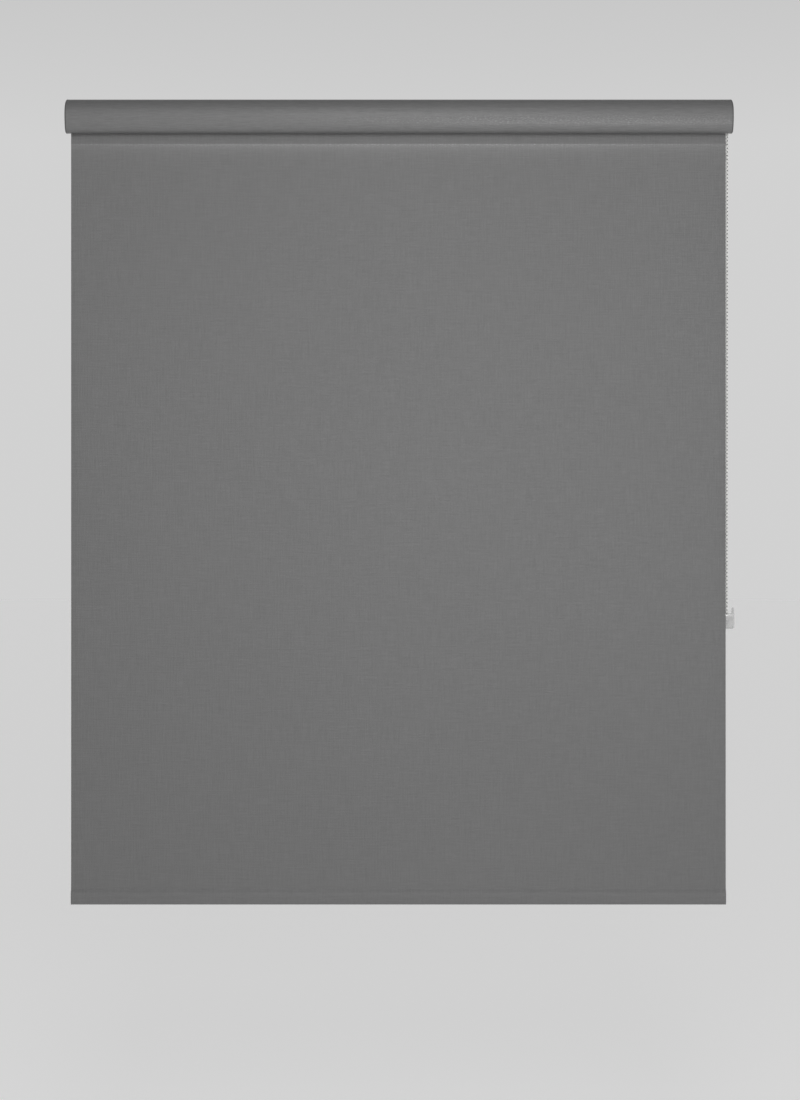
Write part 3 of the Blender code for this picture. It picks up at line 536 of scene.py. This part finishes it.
def buildCassette():
    inner = cassette["halfWidth"] - cassette["capThickness"] - cassette["gap"]
    wall, gap = cassette["wall"], cassette["gap"]
    mesh = clothStrip("fasciaCloth", facePath, -gap - cassette["cloth"], -gap, -inner, inner, 24)
    cover = newObject("fasciaCloth", mesh)
    dress(cover, finish["pressedCloth"], "cassette", "blind_fabric", "fascia_fabric")
    pathLength(facePath)

    front = newObject("fasciaFront", extruded("fasciaFront", stripOutline(facePath, 0.0, wall), -inner, inner))
    dress(front, finish["tubeAluminium"], "cassette", "aluminium", "cassette_fascia")
    plate = smoothCurve([(-0.0287, -0.00875), (0.0, -0.00875), (0.0265, -0.00875)], 2)
    rail = [Vector(p) for p in ((0.0230, -0.00325), (0.02725, -0.00325), (0.02725, -0.0300))]
    for name, path, bevel, segments in (("fasciaTopPlate", plate, 0.0002, 1),
                                        ("fasciaRearRail", rail, 0.0003, 2)):
        strip = newObject(name, extruded(name, stripOutline(path, wall / 2, -wall / 2), -inner, inner))
        dress(shaped(strip, bevel, segments), finish["tubeAluminium"], "cassette", "aluminium")
    for number, (y, z, opening) in enumerate(cassette["ports"]):
        start, sweep = math.radians(opening + 35), math.radians(290)
        outline = ringPoints(cassette["portOuter"], 24, (y, z), start, sweep)
        outline += ringPoints(cassette["portInner"], 24, (y, z), start + sweep, -sweep)
        port = newObject(f"screwPort{number + 1}", extruded("screwPort", outline, gap - inner, inner - gap))
        dress(port, finish["tubeAluminium"], "cassette", "aluminium")


def capOutline(reach):
    front = [tuple(p) for p in offsetCurve(facePath, -reach)]
    corner = smoothCurve([(0.0205, -0.0471), (0.0262, -0.0440), (0.0284, -0.0385)], 5)
    back = smoothCurve([(0.0284, -0.0040), (0.0270, -0.0015), (0.0240, -0.0008)], 5)
    return front + [(-0.0160, -0.0562)] + [tuple(p) for p in corner] + [tuple(p) for p in back]


def crossHeadScrew(name, sign):
    # countersunk screw with a cross recess, head at x = 0 facing sign
    profile = [(0, 0), (0, 0.0024), (-0.00025, 0.0027), (-0.0014, 0.0014), (-0.0105, 0.0014), (-0.0119, 0.0)]
    screw = newObject(name, turned(name, [(x * sign, r) for x, r in profile], 32, closed=False))
    low, high = sorted((-0.0008 * sign, 0.0006 * sign))
    long, narrow = 0.0014, 0.0003
    cuts = [boxMesh("cut", (low, -y, -z), (high, y, z)) for y, z in ((long, narrow), (narrow, long))]
    return shaped(screw, cuts=cuts)


def buildEndCaps():
    for side, sign in (("Left", -1), ("Right", 1)):
        outer = sign * cassette["halfWidth"]
        inner = outer - sign * cassette["capThickness"]
        plate = roundedPlate("endCap", capOutline(cassette["capReach"]), inner, outer, cassette["capRounding"])
        cap = newObject(f"endCap{side}", plate)
        cuts = []
        for y, z, _ in cassette["ports"]:
            sink = [(inner - sign * 0.001, 0), (inner - sign * 0.001, 0.0016), (outer - sign * 0.0013, 0.0016),
                    (outer, 0.0029), (outer + sign * 0.001, 0.0029), (outer + sign * 0.001, 0)]
            cuts.append(placed(turned("sink", sink, 32, closed=False), Matrix.Translation((0, y, z))))
        if side == "Right":
            recess = [(inner - 0.001, 0), (inner - 0.001, 0.0170), (inner + 0.0009, 0.0170),
                      (inner + 0.0009, 0.0020), (outer + 0.001, 0.0020), (outer + 0.001, 0)]
            cuts.append(placed(turned("recess", recess, 48, closed=False), Matrix.Translation((0, 0, axisZ))))
        else:  # a shallow round outside, where the idle pin's socket is
            proud, sunk = outer + sign * 0.001, outer - sign * 0.0004
            dimple = [(proud, 0), (proud, 0.0060), (sunk, 0.0054), (sunk, 0)]
            cuts.append(placed(turned("dimple", dimple, 48, closed=False), Matrix.Translation((0, 0, axisZ))))
        bulge = [p for p in facePath if -0.0450 < p.y < -0.0140]
        near = cassette["wall"] + cassette["gap"]
        outline = stripOutline(bulge, near, near + 0.0012)
        rib = extruded("rib", outline, inner - sign * 0.0060, inner + sign * 0.0006)
        shaped(cap, cuts=cuts, joins=[rib])
        dress(cap, finish["capPlastic"], "cassette", "grey_plastic", f"end_cap_{side.lower()}")
        for number, (y, z, _) in enumerate(cassette["ports"]):
            screw = crossHeadScrew(f"capScrew{side}{number + 1}", sign)
            screw.data.transform(Matrix.Translation((outer - sign * 0.0001, y, z)))
            dress(screw, finish["steel"], "cassette", "steel", f"end_cap_screw_{side.lower()}_{number + 1}")


buildCassette()
buildEndCaps()
print("cassette and end caps built")


cloth = {
    "left": -0.5270,
    "right": 0.5247,
    "thickness": 0.0004,
    "planeY": -0.0180,
    "bottom": -1.2684,      # where the sheet meets the hem pocket
    "ripple": 0.00030,      # slow waves in the hanging cloth
    "edgeCurl": 0.0008,     # the cut edges lean back a little
    "edgeWidth": 0.016,
    "creaseZ": -0.0725,     # where the curl from the roll shows, just under the cassette
    "creaseTilt": 0.06,
    "creaseFade": 0.0090,
    "columns": 84,
    "rowsBelow": 84,
    # extra rows round the crease and extra columns at the cut edges, as distances from them
    "creaseRows": (-0.0015, -0.0004, 0.0, 0.0006, 0.0015, 0.0028, 0.0045, 0.0065, 0.0090, 0.0125, 0.0170,
                   0.0230, 0.0300),
    "edgeColumns": (0.0020, 0.0045, 0.0075, 0.0105, 0.0150),
}
roll = {
    "inner": 0.0162,        # just outside the tube
    "outer": 0.0177,
    "turns": 3.25,
    "stepsPerTurn": 72,
}
hem = {
    "z": -1.2817,
    # half of the pocket's section, from the seam down to the fold underneath
    "half": [(0.0001, 0.0133), (0.0003, 0.0120), (0.0012, 0.0098), (0.0023, 0.0073), (0.0031, 0.0047),
             (0.0035, 0.0015), (0.0035, -0.0040), (0.0034, -0.0078), (0.0029, -0.0106), (0.0018, -0.0124),
             (0.0, -0.0130)],
    "barHeight": 0.0200,
    "barDepth": 0.0056,
    "barDrop": -0.0023,     # the bar sits low in its pocket
}


def hangingY(x, z):
    # where the cloth hangs, with waves that die out at the roll and the hem
    down = (axisZ - z) / (axisZ - cloth["bottom"])
    fade = math.sin(math.pi * min(max(down, 0.0), 1.0)) ** 0.5
    wave = (math.sin(5.1 * x + 1.3 + 0.8 * z) * 0.6 + math.sin(11.7 * x - 2.0 + 1.7 * z) * 0.3
            + math.sin(3.4 * z + 2.2 * x) * 0.5)
    edge = min(x - cloth["left"], cloth["right"] - x)
    curl = max(0.0, 1 - edge / cloth["edgeWidth"]) ** 2
    below = max(0.0, cloth["creaseZ"] - z)
    settled = 1 - math.exp(-below / cloth["creaseFade"])
    leanBack = cloth["creaseTilt"] * cloth["creaseFade"] * settled * (1 - down) ** 1.5
    return cloth["planeY"] + fade * (cloth["ripple"] * wave + cloth["edgeCurl"] * curl) + leanBack


def buildSheet():
    columns, half = cloth["columns"], cloth["thickness"] / 2
    xs = [cloth["left"] + (cloth["right"] - cloth["left"]) * i / columns for i in range(columns + 1)]
    for side, sign in (("left", 1), ("right", -1)):
        xs += [cloth[side] + sign * width for width in cloth["edgeColumns"]]
    xs = sorted(xs)
    # fine rows under the cassette, then wider ones down to the hem
    zs = [axisZ - 0.006 * i for i in range(6)]
    zs += [cloth["creaseZ"] - step for step in cloth["creaseRows"]]
    count = cloth["rowsBelow"]
    zs += [zs[-1] + (cloth["bottom"] - zs[-1]) * i / count for i in range(1, count + 1)]
    rows = len(zs) - 1
    columns = len(xs) - 1
    bm = bmesh.new()
    front, back = ([[bm.verts.new((x, hangingY(x, z) + step, z)) for x in xs] for z in zs]
                   for step in (-half, half))
    for r in range(rows):
        for c in range(columns):
            for grid in (front, back):
                bm.faces.new((grid[r][c], grid[r][c + 1], grid[r + 1][c + 1], grid[r + 1][c]))
    for r in range(rows):
        for c in (0, -1):
            bm.faces.new((front[r][c], front[r + 1][c], back[r + 1][c], back[r][c]))
    for c in range(columns):
        for r in (0, -1):
            bm.faces.new((front[r][c], front[r][c + 1], back[r][c + 1], back[r][c]))
    sheet = newObject("blindSheet", finishMesh(bm, "blindSheet", 50))
    dress(sheet, finish["cloth"], "cassette", "blind_fabric", "fabric_sheet")
    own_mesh(sheet)


def buildRoll():
    # the wraps that stay on the tube, as one wound strip whose end shows the turns
    steps = int(roll["turns"] * roll["stepsPerTurn"])
    buildUp = roll["outer"] - roll["inner"] - cloth["thickness"]
    path = []
    for i in range(steps + 1):
        share = i / steps  # the last turn ends at the front, where the sheet leaves
        angle = math.pi + 2 * math.pi * roll["turns"] * (1 - share)
        radius = roll["inner"] + cloth["thickness"] / 2 + buildUp * share
        path.append(Vector((radius * math.cos(angle), axisZ + radius * math.sin(angle))))
    half = cloth["thickness"] * 0.46  # a hair thinner, so that the turns don't touch
    mesh = clothStrip("rolledCloth", path, half, -half, cloth["left"], cloth["right"], 8)
    wraps = newObject("rolledCloth", mesh)
    dress(wraps, finish["wrappedCloth"], "roller", "blind_fabric", "fabric_roll")
    pathLength(path)


def hemPath():
    # one strip of cloth: down the front of the bar, under it, up behind and flat against the sheet's back
    front = [(-y, z) for y, z in hem["half"]]
    behind = [(y, z) for y, z in reversed(hem["half"][2:-1])]
    weld = [(0.0005, 0.0118), (0.00042, 0.0135), (0.00042, 0.0165), (0.00042, 0.0200)]
    return [p + Vector((cloth["planeY"], hem["z"])) for p in smoothCurve(front + behind + weld, 5)]


def barOutline(shrink, count):
    points = []
    for c, s in ringPoints(1.0, count):
        y = math.copysign(abs(c) ** 0.80, c) * (hem["barDepth"] - shrink) / 2
        z = math.copysign(abs(s) ** 0.62, s) * (hem["barHeight"] - shrink) / 2
        points.append((cloth["planeY"] + y, hem["z"] + hem["barDrop"] + z))
    return points


def buildHem():
    path = hemPath()
    half = cloth["thickness"] / 2
    mesh = clothStrip("hemPocket", path, half, -half, cloth["left"], cloth["right"], 24)
    pocket = newObject("hemPocket", mesh)
    dress(pocket, finish["wrappedCloth"], "hem_bar", "blind_fabric", "hem_sleeve")
    pathLength(path)
    for side, end, sign in (("Left", cloth["left"], 1), ("Right", cloth["right"], -1)):
        mesh = extruded("barPlug", barOutline(0.0, 56), end + sign * 0.0002, end + sign * 0.0018, 40)
        plug = newObject(f"barPlug{side}", mesh)
        low, high = sorted((end, end + sign * 0.0006))
        slot = boxMesh("slot", (low - 0.0001, cloth["planeY"] - 0.0008, hem["z"] - 0.0080),
                       (high + 0.0001, cloth["planeY"] + 0.0008, hem["z"] + 0.0035))
        tongue = extruded("tongue", barOutline(0.0030, 40), end + sign * 0.0010, end + sign * 0.0140)
        shaped(plug, 0.0003, 2, [slot], [tongue])
        dress(plug, finish["capPlastic"], "hem_bar", "grey_plastic", f"bar_end_plug_{side.lower()}")


buildSheet()
buildRoll()
buildHem()
print("cloth, roll and hem built")


chain = {
    "pitch": 0.0060,        # from one bead to the next
    "bead": 0.00225,        # radius of a bead
    "cord": 0.0018,         # thickness of the cord inside
    "beads": 278,           # on each straight 134, and half a turn round each wheel
    "strandBeads": 134,
    "sprocketPockets": 12,
    "pulleyPockets": 8,
    "beadSides": 14,
    "connectorZ": -0.0876,
    "stopZ": -0.0670,
    "fittingBore": 0.0024,  # inside the connector and the stop
    "grooveHalf": 0.0024,   # half the width of the wheels' running groove
    "barrelEnd": 0.4900,    # how far the sprocket's barrel reaches into the tube
    "axleEnd": 0.5367,      # and the small pulley's boss towards the wall plate
}
sprocketRadius = chain["pitch"] / 2 / math.sin(math.pi / chain["sprocketPockets"])
pulleyRadius = chain["pitch"] / 2 / math.sin(math.pi / chain["pulleyPockets"])


def wheelDistance():
    length, difference = chain["pitch"] * chain["beads"], sprocketRadius - pulleyRadius
    distance = length / 2
    for _ in range(30):
        lean = math.asin(difference / distance)
        straight = length - math.pi * (sprocketRadius + pulleyRadius) - 2 * lean * difference
        distance = straight / 2 / math.cos(lean)
    return distance


centres = wheelDistance()
lean = math.asin((sprocketRadius - pulleyRadius) / centres)
pulleyZ = axisZ - centres


def chainPoints():
    # bead centres round the whole loop, starting at the rear of the sprocket
    def onSprocket(angle):
        return Vector((sprocketRadius * math.cos(angle), axisZ + sprocketRadius * math.sin(angle)))

    def onPulley(angle):
        return Vector((pulleyRadius * math.cos(angle), pulleyZ + pulleyRadius * math.sin(angle)))

    def strand(start, end):
        return [start.lerp(end, i / chain["strandBeads"]) for i in range(chain["strandBeads"])]

    over, under = chain["sprocketPockets"] // 2, chain["pulleyPockets"] // 2
    points = [onSprocket(-lean + (math.pi + 2 * lean) * i / over) for i in range(over)]
    front = math.pi + lean
    points += strand(onSprocket(front), onPulley(front))
    points += [onPulley(front + (math.pi - 2 * lean) * i / under) for i in range(under)]
    points += strand(onPulley(-lean), onSprocket(-lean))
    return [Vector((chainX, p.x, p.y)) for p in points]


def beadRound(bm, centre, direction):
    # a slightly long bead with a small collar where the cord goes in
    profile = [(-1.12, 0.20), (-1.00, 0.36), (-0.86, 0.56), (-0.60, 0.82), (-0.22, 0.985), (0.22, 0.985),
               (0.60, 0.82), (0.86, 0.56), (1.00, 0.36), (1.12, 0.20)]
    turn, sides = direction.to_track_quat("Z", "Y"), chain["beadSides"]
    rings = []
    for along, out in profile:
        spots = [Vector((x, y, along)) * chain["bead"] for x, y in ringPoints(out, sides)]
        rings.append([bm.verts.new(centre + turn @ spot) for spot in spots])
    for a, b in zip(rings, rings[1:]):
        for i in range(sides):
            j = (i + 1) % sides
            bm.faces.new((a[i], a[j], b[j], b[i]))
    bm.faces.new(list(reversed(rings[0])))
    bm.faces.new(rings[-1])


def buildChain():
    points = chainPoints()
    bm = bmesh.new()
    count = len(points)
    for i, point in enumerate(points):
        beadRound(bm, point, (points[(i + 1) % count] - points[i - 1]).normalized())
    beads = newObject("chainBeads", finishMesh(bm, "chainBeads", 60))
    dress(beads, finish["bead"], "cassette", "bead_plastic", "ball_chain")
    # the cord inside runs from the connector round the loop and back to it
    link = Vector((chainX, sprocketRadius, chain["connectorZ"]))
    joinAt = min(range(count), key=lambda i: (points[i] - link).length_squared)
    route = [points[(joinAt + i) % count] for i in range(count + 1)]
    route[-1] = route[-1] + Vector((0, 0, -0.0015))
    data = bpy.data.curves.new("chainCord", "CURVE")
    data.dimensions, data.use_fill_caps = "3D", True
    data.bevel_depth, data.bevel_resolution = chain["cord"] / 2, 2
    line = data.splines.new("POLY")
    line.points.add(count)
    for spot, point in zip(line.points, route):
        spot.co = (*point, 1)
    cord = newObject("chainCord", data)
    dress(cord, finish["cord"], "cassette", "bead_plastic")
    return cord, beads, route


def onStrand(name, profile, z):
    # a fitting clipped on the rear strand, leaning with it
    y = sprocketRadius / math.cos(lean) - (axisZ - z) * math.tan(lean)
    mesh = turned(name, profile, 40)
    mesh.transform(Matrix.Rotation(-math.pi / 2, 4, "Y"))
    mesh.transform(Matrix.Translation((chainX, y, z)) @ Matrix.Rotation(-lean, 4, "X"))
    return newObject(name, mesh)


def buildChainFittings():
    # half profiles: distance from the middle, and how far outside the bore
    link = [(0.0065, 0.0), (0.0065, 0.0003), (0.0060, 0.0006), (0.0042, 0.0008), (0.0036, 0.0005),
            (0.0030, 0.0008)]
    stop = [(0.0030, 0.0), (0.0030, 0.0003), (0.0024, 0.0008), (0.0010, 0.0011), (0.0004, 0.00075)]
    for name, half, z, node in (("chainConnector", link, chain["connectorZ"], "chain_connector"),
                                ("chainStop", stop, chain["stopZ"], "chain_stop")):
        mirrored = half + [(-along, out) for along, out in reversed(half)]
        profile = [(along, chain["fittingBore"] + out) for along, out in mirrored]
        dress(onStrand(name, profile, z), finish["clear"], "chain_link", "clear_plastic", node)


def grooveProfile(outer, inner, crown, floor):
    # the running groove of a chain wheel, outer face first
    x, half = chainX, chain["grooveHalf"]
    return [(outer, crown - 0.0002), (outer - 0.0002, crown), (x + half, crown), (x + half, floor + 0.0011),
            (x + 0.0013, floor), (x - 0.0013, floor), (x - half, floor + 0.0011), (x - half, crown),
            (inner + 0.0002, crown), (inner, crown - 0.0002)]


def pocketRibs(name, radius, pockets):
    # the small walls between beads, one each side of the cord
    half = chain["grooveHalf"]
    bm = bmesh.new()
    for i in range(pockets):
        angle = 2 * math.pi * (i + 0.5) / pockets
        for side in (-1, 1):
            made = bmesh.ops.create_cube(bm, size=1.0)["verts"]
            bmesh.ops.scale(bm, verts=made, vec=(half - 0.0009, 0.0008, 0.0030))
            x = chainX + side * (half + 0.0009) / 2
            bmesh.ops.translate(bm, verts=made, vec=(x, 0, radius - 0.0008))
            turn = Matrix.Rotation(angle - math.pi / 2, 3, "X")
            bmesh.ops.rotate(bm, verts=made, cent=(0, 0, 0), matrix=turn)
    return finishMesh(bm, name, 0)


def buildWheels():
    barrel = chain["barrelEnd"]
    high = Matrix.Translation((0, 0, axisZ))
    outer, inner = chainX + 0.0033, chainX - 0.0033
    grooveFloor = sprocketRadius - chain["bead"] - 0.00045
    profile = [(outer, 0.0083)] + grooveProfile(outer, inner, sprocketRadius + 0.0010, grooveFloor)
    profile += [(inner, 0.0094), (barrel + 0.0002, 0.0094), (barrel, 0.0092), (barrel, 0.0069),
                (0.5235, 0.0069), (0.5235, 0.0053), (outer - 0.0016, 0.0053), (outer - 0.0016, 0.0083)]
    wheel = newObject("chainSprocket", placed(turned("chainSprocket", profile, 72), high))
    splines = []
    for i in range(6):
        rib = boxMesh("rib", (0.4930, -0.0010, 0.0090), (0.5200, 0.0010, 0.0105))
        splines.append(placed(rib, high @ Matrix.Rotation(2 * math.pi * i / 6, 4, "X")))
    dress(shaped(wheel, joins=splines), finish["palePlastic"], "sprocket", "white_plastic", "chain_sprocket")
    ribs = pocketRibs("sprocketRibs", sprocketRadius, chain["sprocketPockets"])
    dress(newObject("sprocketRibs", placed(ribs, high)), finish["palePlastic"], "sprocket", "white_plastic")

    low = Matrix.Translation((0, 0, pulleyZ))
    outer, inner = chainX + 0.0032, chainX - 0.0032
    grooveFloor = pulleyRadius - chain["bead"] - 0.0004
    profile = [(chain["axleEnd"], 0.0022), (chain["axleEnd"], 0.0036), (outer, 0.0036)]
    profile += grooveProfile(outer, inner, pulleyRadius + 0.0012, grooveFloor) + [(inner, 0.0022)]
    pulley = newObject("tidyPulley", placed(turned("tidyPulley", profile, 56), low))
    dress(pulley, finish["palePlastic"], "tidy_wheel", "white_plastic", "tidy_pulley")
    ribs = pocketRibs("pulleyRibs", pulleyRadius, chain["pulleyPockets"])
    dress(newObject("pulleyRibs", placed(ribs, low)), finish["palePlastic"], "tidy_wheel", "white_plastic")


tidy = {
    "halfWidth": 0.0118,
    "top": -0.8182,
    "bottom": -0.8530,
    "wallX": 0.5400,        # the wall or window reveal that it is screwed to
    "frontX": 0.5236,
    "baseThickness": 0.0015,
    "wall": 0.0011,
    "holeRadius": 0.0018,
}


def stadium(halfWidth, low, high):
    top = ringPoints(halfWidth, 25, (0, high - halfWidth), 0, math.pi)
    return top + ringPoints(halfWidth, 25, (0, low + halfWidth), math.pi, math.pi)


def buildTidy():
    wallIn, wall, front = tidy["wallX"] - tidy["baseThickness"], tidy["wall"], tidy["frontX"]
    outline = stadium(tidy["halfWidth"], tidy["bottom"], tidy["top"])

    def screwHoles():
        start, end, radius = front - 0.002, tidy["wallX"] + 0.002, tidy["holeRadius"]
        hole = [(start, 0), (start, radius), (end, radius), (end, 0)]
        return [placed(turned("hole", hole, 32, closed=False), Matrix.Translation((0, 0, z)))
                for z in (tidy["top"] - 0.0050, tidy["bottom"] + 0.0031)]

    base = newObject("tidyBase", extruded("tidyBase", outline, wallIn, tidy["wallX"]))
    dress(shaped(base, 0.0003, 2, screwHoles()), finish["clear"], "cassette", "clear_plastic", "tidy_base")
    coverOut = wallIn - 0.0002
    inset = stadium(tidy["halfWidth"] - wall, tidy["bottom"] + wall, tidy["top"] - wall)
    cover = newObject("tidyCover", extruded("tidyCover", outline, front, coverOut))
    hollow = extruded("hollow", inset, front + wall, coverOut + 0.002)
    mouth = boxMesh("mouth", (front + wall, -0.020, pulleyZ + 0.0090),
                    (coverOut + 0.002, 0.020, tidy["top"] + 0.005))
    shaped(cover, 0.0005, 3, [hollow, mouth] + screwHoles())
    dress(cover, finish["clear"], "cassette", "clear_plastic", "tidy_cover")


chainCord, chainBeads, chainRoute = buildChain()
buildChainFittings()
tuple(chainRoute[0])
buildWheels()
buildTidy()
print("chain, wheels and tidy built")


studio = {
    "cameraAt": (0.0014, -2.8645, -0.7254),
    "lens": 57.99,
    "floorZ": -1.90,
    "floor": 0.86,
    "floorGlow": 0.36,
    "skyAbove": 0.17,       # the ceiling is darker than the walls
    "skyLevel": 0.64,
    "skyFade": (0.22, 0.80),
    "spread": 100.0,        # keeps the lamps' light off the floor
    # each lamp's place, what it points at, its size and its power
    "lamps": {
        "keyLight": ((0.05, -1.6, 1.45), (0.0, 0, -0.30), (0.6, 0.6), 0.6),
        "centreSoftBox": ((0.05, -2.95, 0.52), (0.05, 0, -0.60), (0.7, 1.3), 5.6),
        "sideSoftBox": ((0.62, -2.95, -0.60), (0.2, 0, -0.60), (1.0, 0.35), 5.2),
    },
}


def softLamp(name, at, towards, size, power):
    data = bpy.data.lights.new(name, "AREA")
    data.shape, data.energy = "RECTANGLE", power
    data.size, data.size_y = size
    data.spread = math.radians(studio["spread"])
    lamp = newObject(name, data)
    lamp.location = at
    lamp.rotation_euler = (Vector(towards) - Vector(at)).to_track_quat("-Z", "Y").to_euler()
    lamp.visible_camera = False


def buildStudio():
    bm = bmesh.new()
    bmesh.ops.create_circle(bm, cap_ends=True, radius=40.0, segments=96)
    floor = newObject("studioFloor", finishMesh(bm, "studioFloor", 0))
    floor.location.z = studio["floorZ"]
    paint = Nodes("floorPaint")
    mottle = paint.noise(paint.add("ShaderNodeTexCoord").outputs["Object"], 1.4, 4.0)
    colour = paint.blend(mottle, rgb(studio["floor"] * 0.98), rgb(studio["floor"]))
    paint.coat(colour=colour, roughness=0.75, specular=0.2, glow=rgb(1.0), glowStrength=studio["floorGlow"])
    floor.data.materials.append(paint.material)

    world = bpy.data.worlds.new("softRoom")
    bpy.context.scene.world = world
    world.use_nodes = True
    tree = world.node_tree
    sky = tree.nodes["Background"]
    height = tree.nodes.new("ShaderNodeSeparateXYZ")
    tree.links.new(tree.nodes.new("ShaderNodeTexCoord").outputs["Generated"], height.inputs[0])
    fade = tree.nodes.new("ShaderNodeMapRange")
    for side, at, strength in zip(("Min", "Max"), studio["skyFade"], (studio["skyLevel"], studio["skyAbove"])):
        fade.inputs[f"From {side}"].default_value = at
        fade.inputs[f"To {side}"].default_value = strength
    tree.links.new(height.outputs["Z"], fade.inputs["Value"])
    tree.links.new(fade.outputs["Result"], sky.inputs["Strength"])
    sky.inputs["Color"].default_value = rgb(1.0)

    for name, lamp in studio["lamps"].items():
        softLamp(name, *lamp)

    data = bpy.data.cameras.new("camera")
    data.lens = studio["lens"]
    camera = newObject("camera", data)
    camera.location = studio["cameraAt"]
    camera.rotation_euler = (math.pi / 2, 0, 0)
    bpy.context.scene.camera = camera
    bpy.context.scene.view_settings.view_transform = "Standard"


buildStudio()
print("studio ready")

bpy.context.view_layer.update()
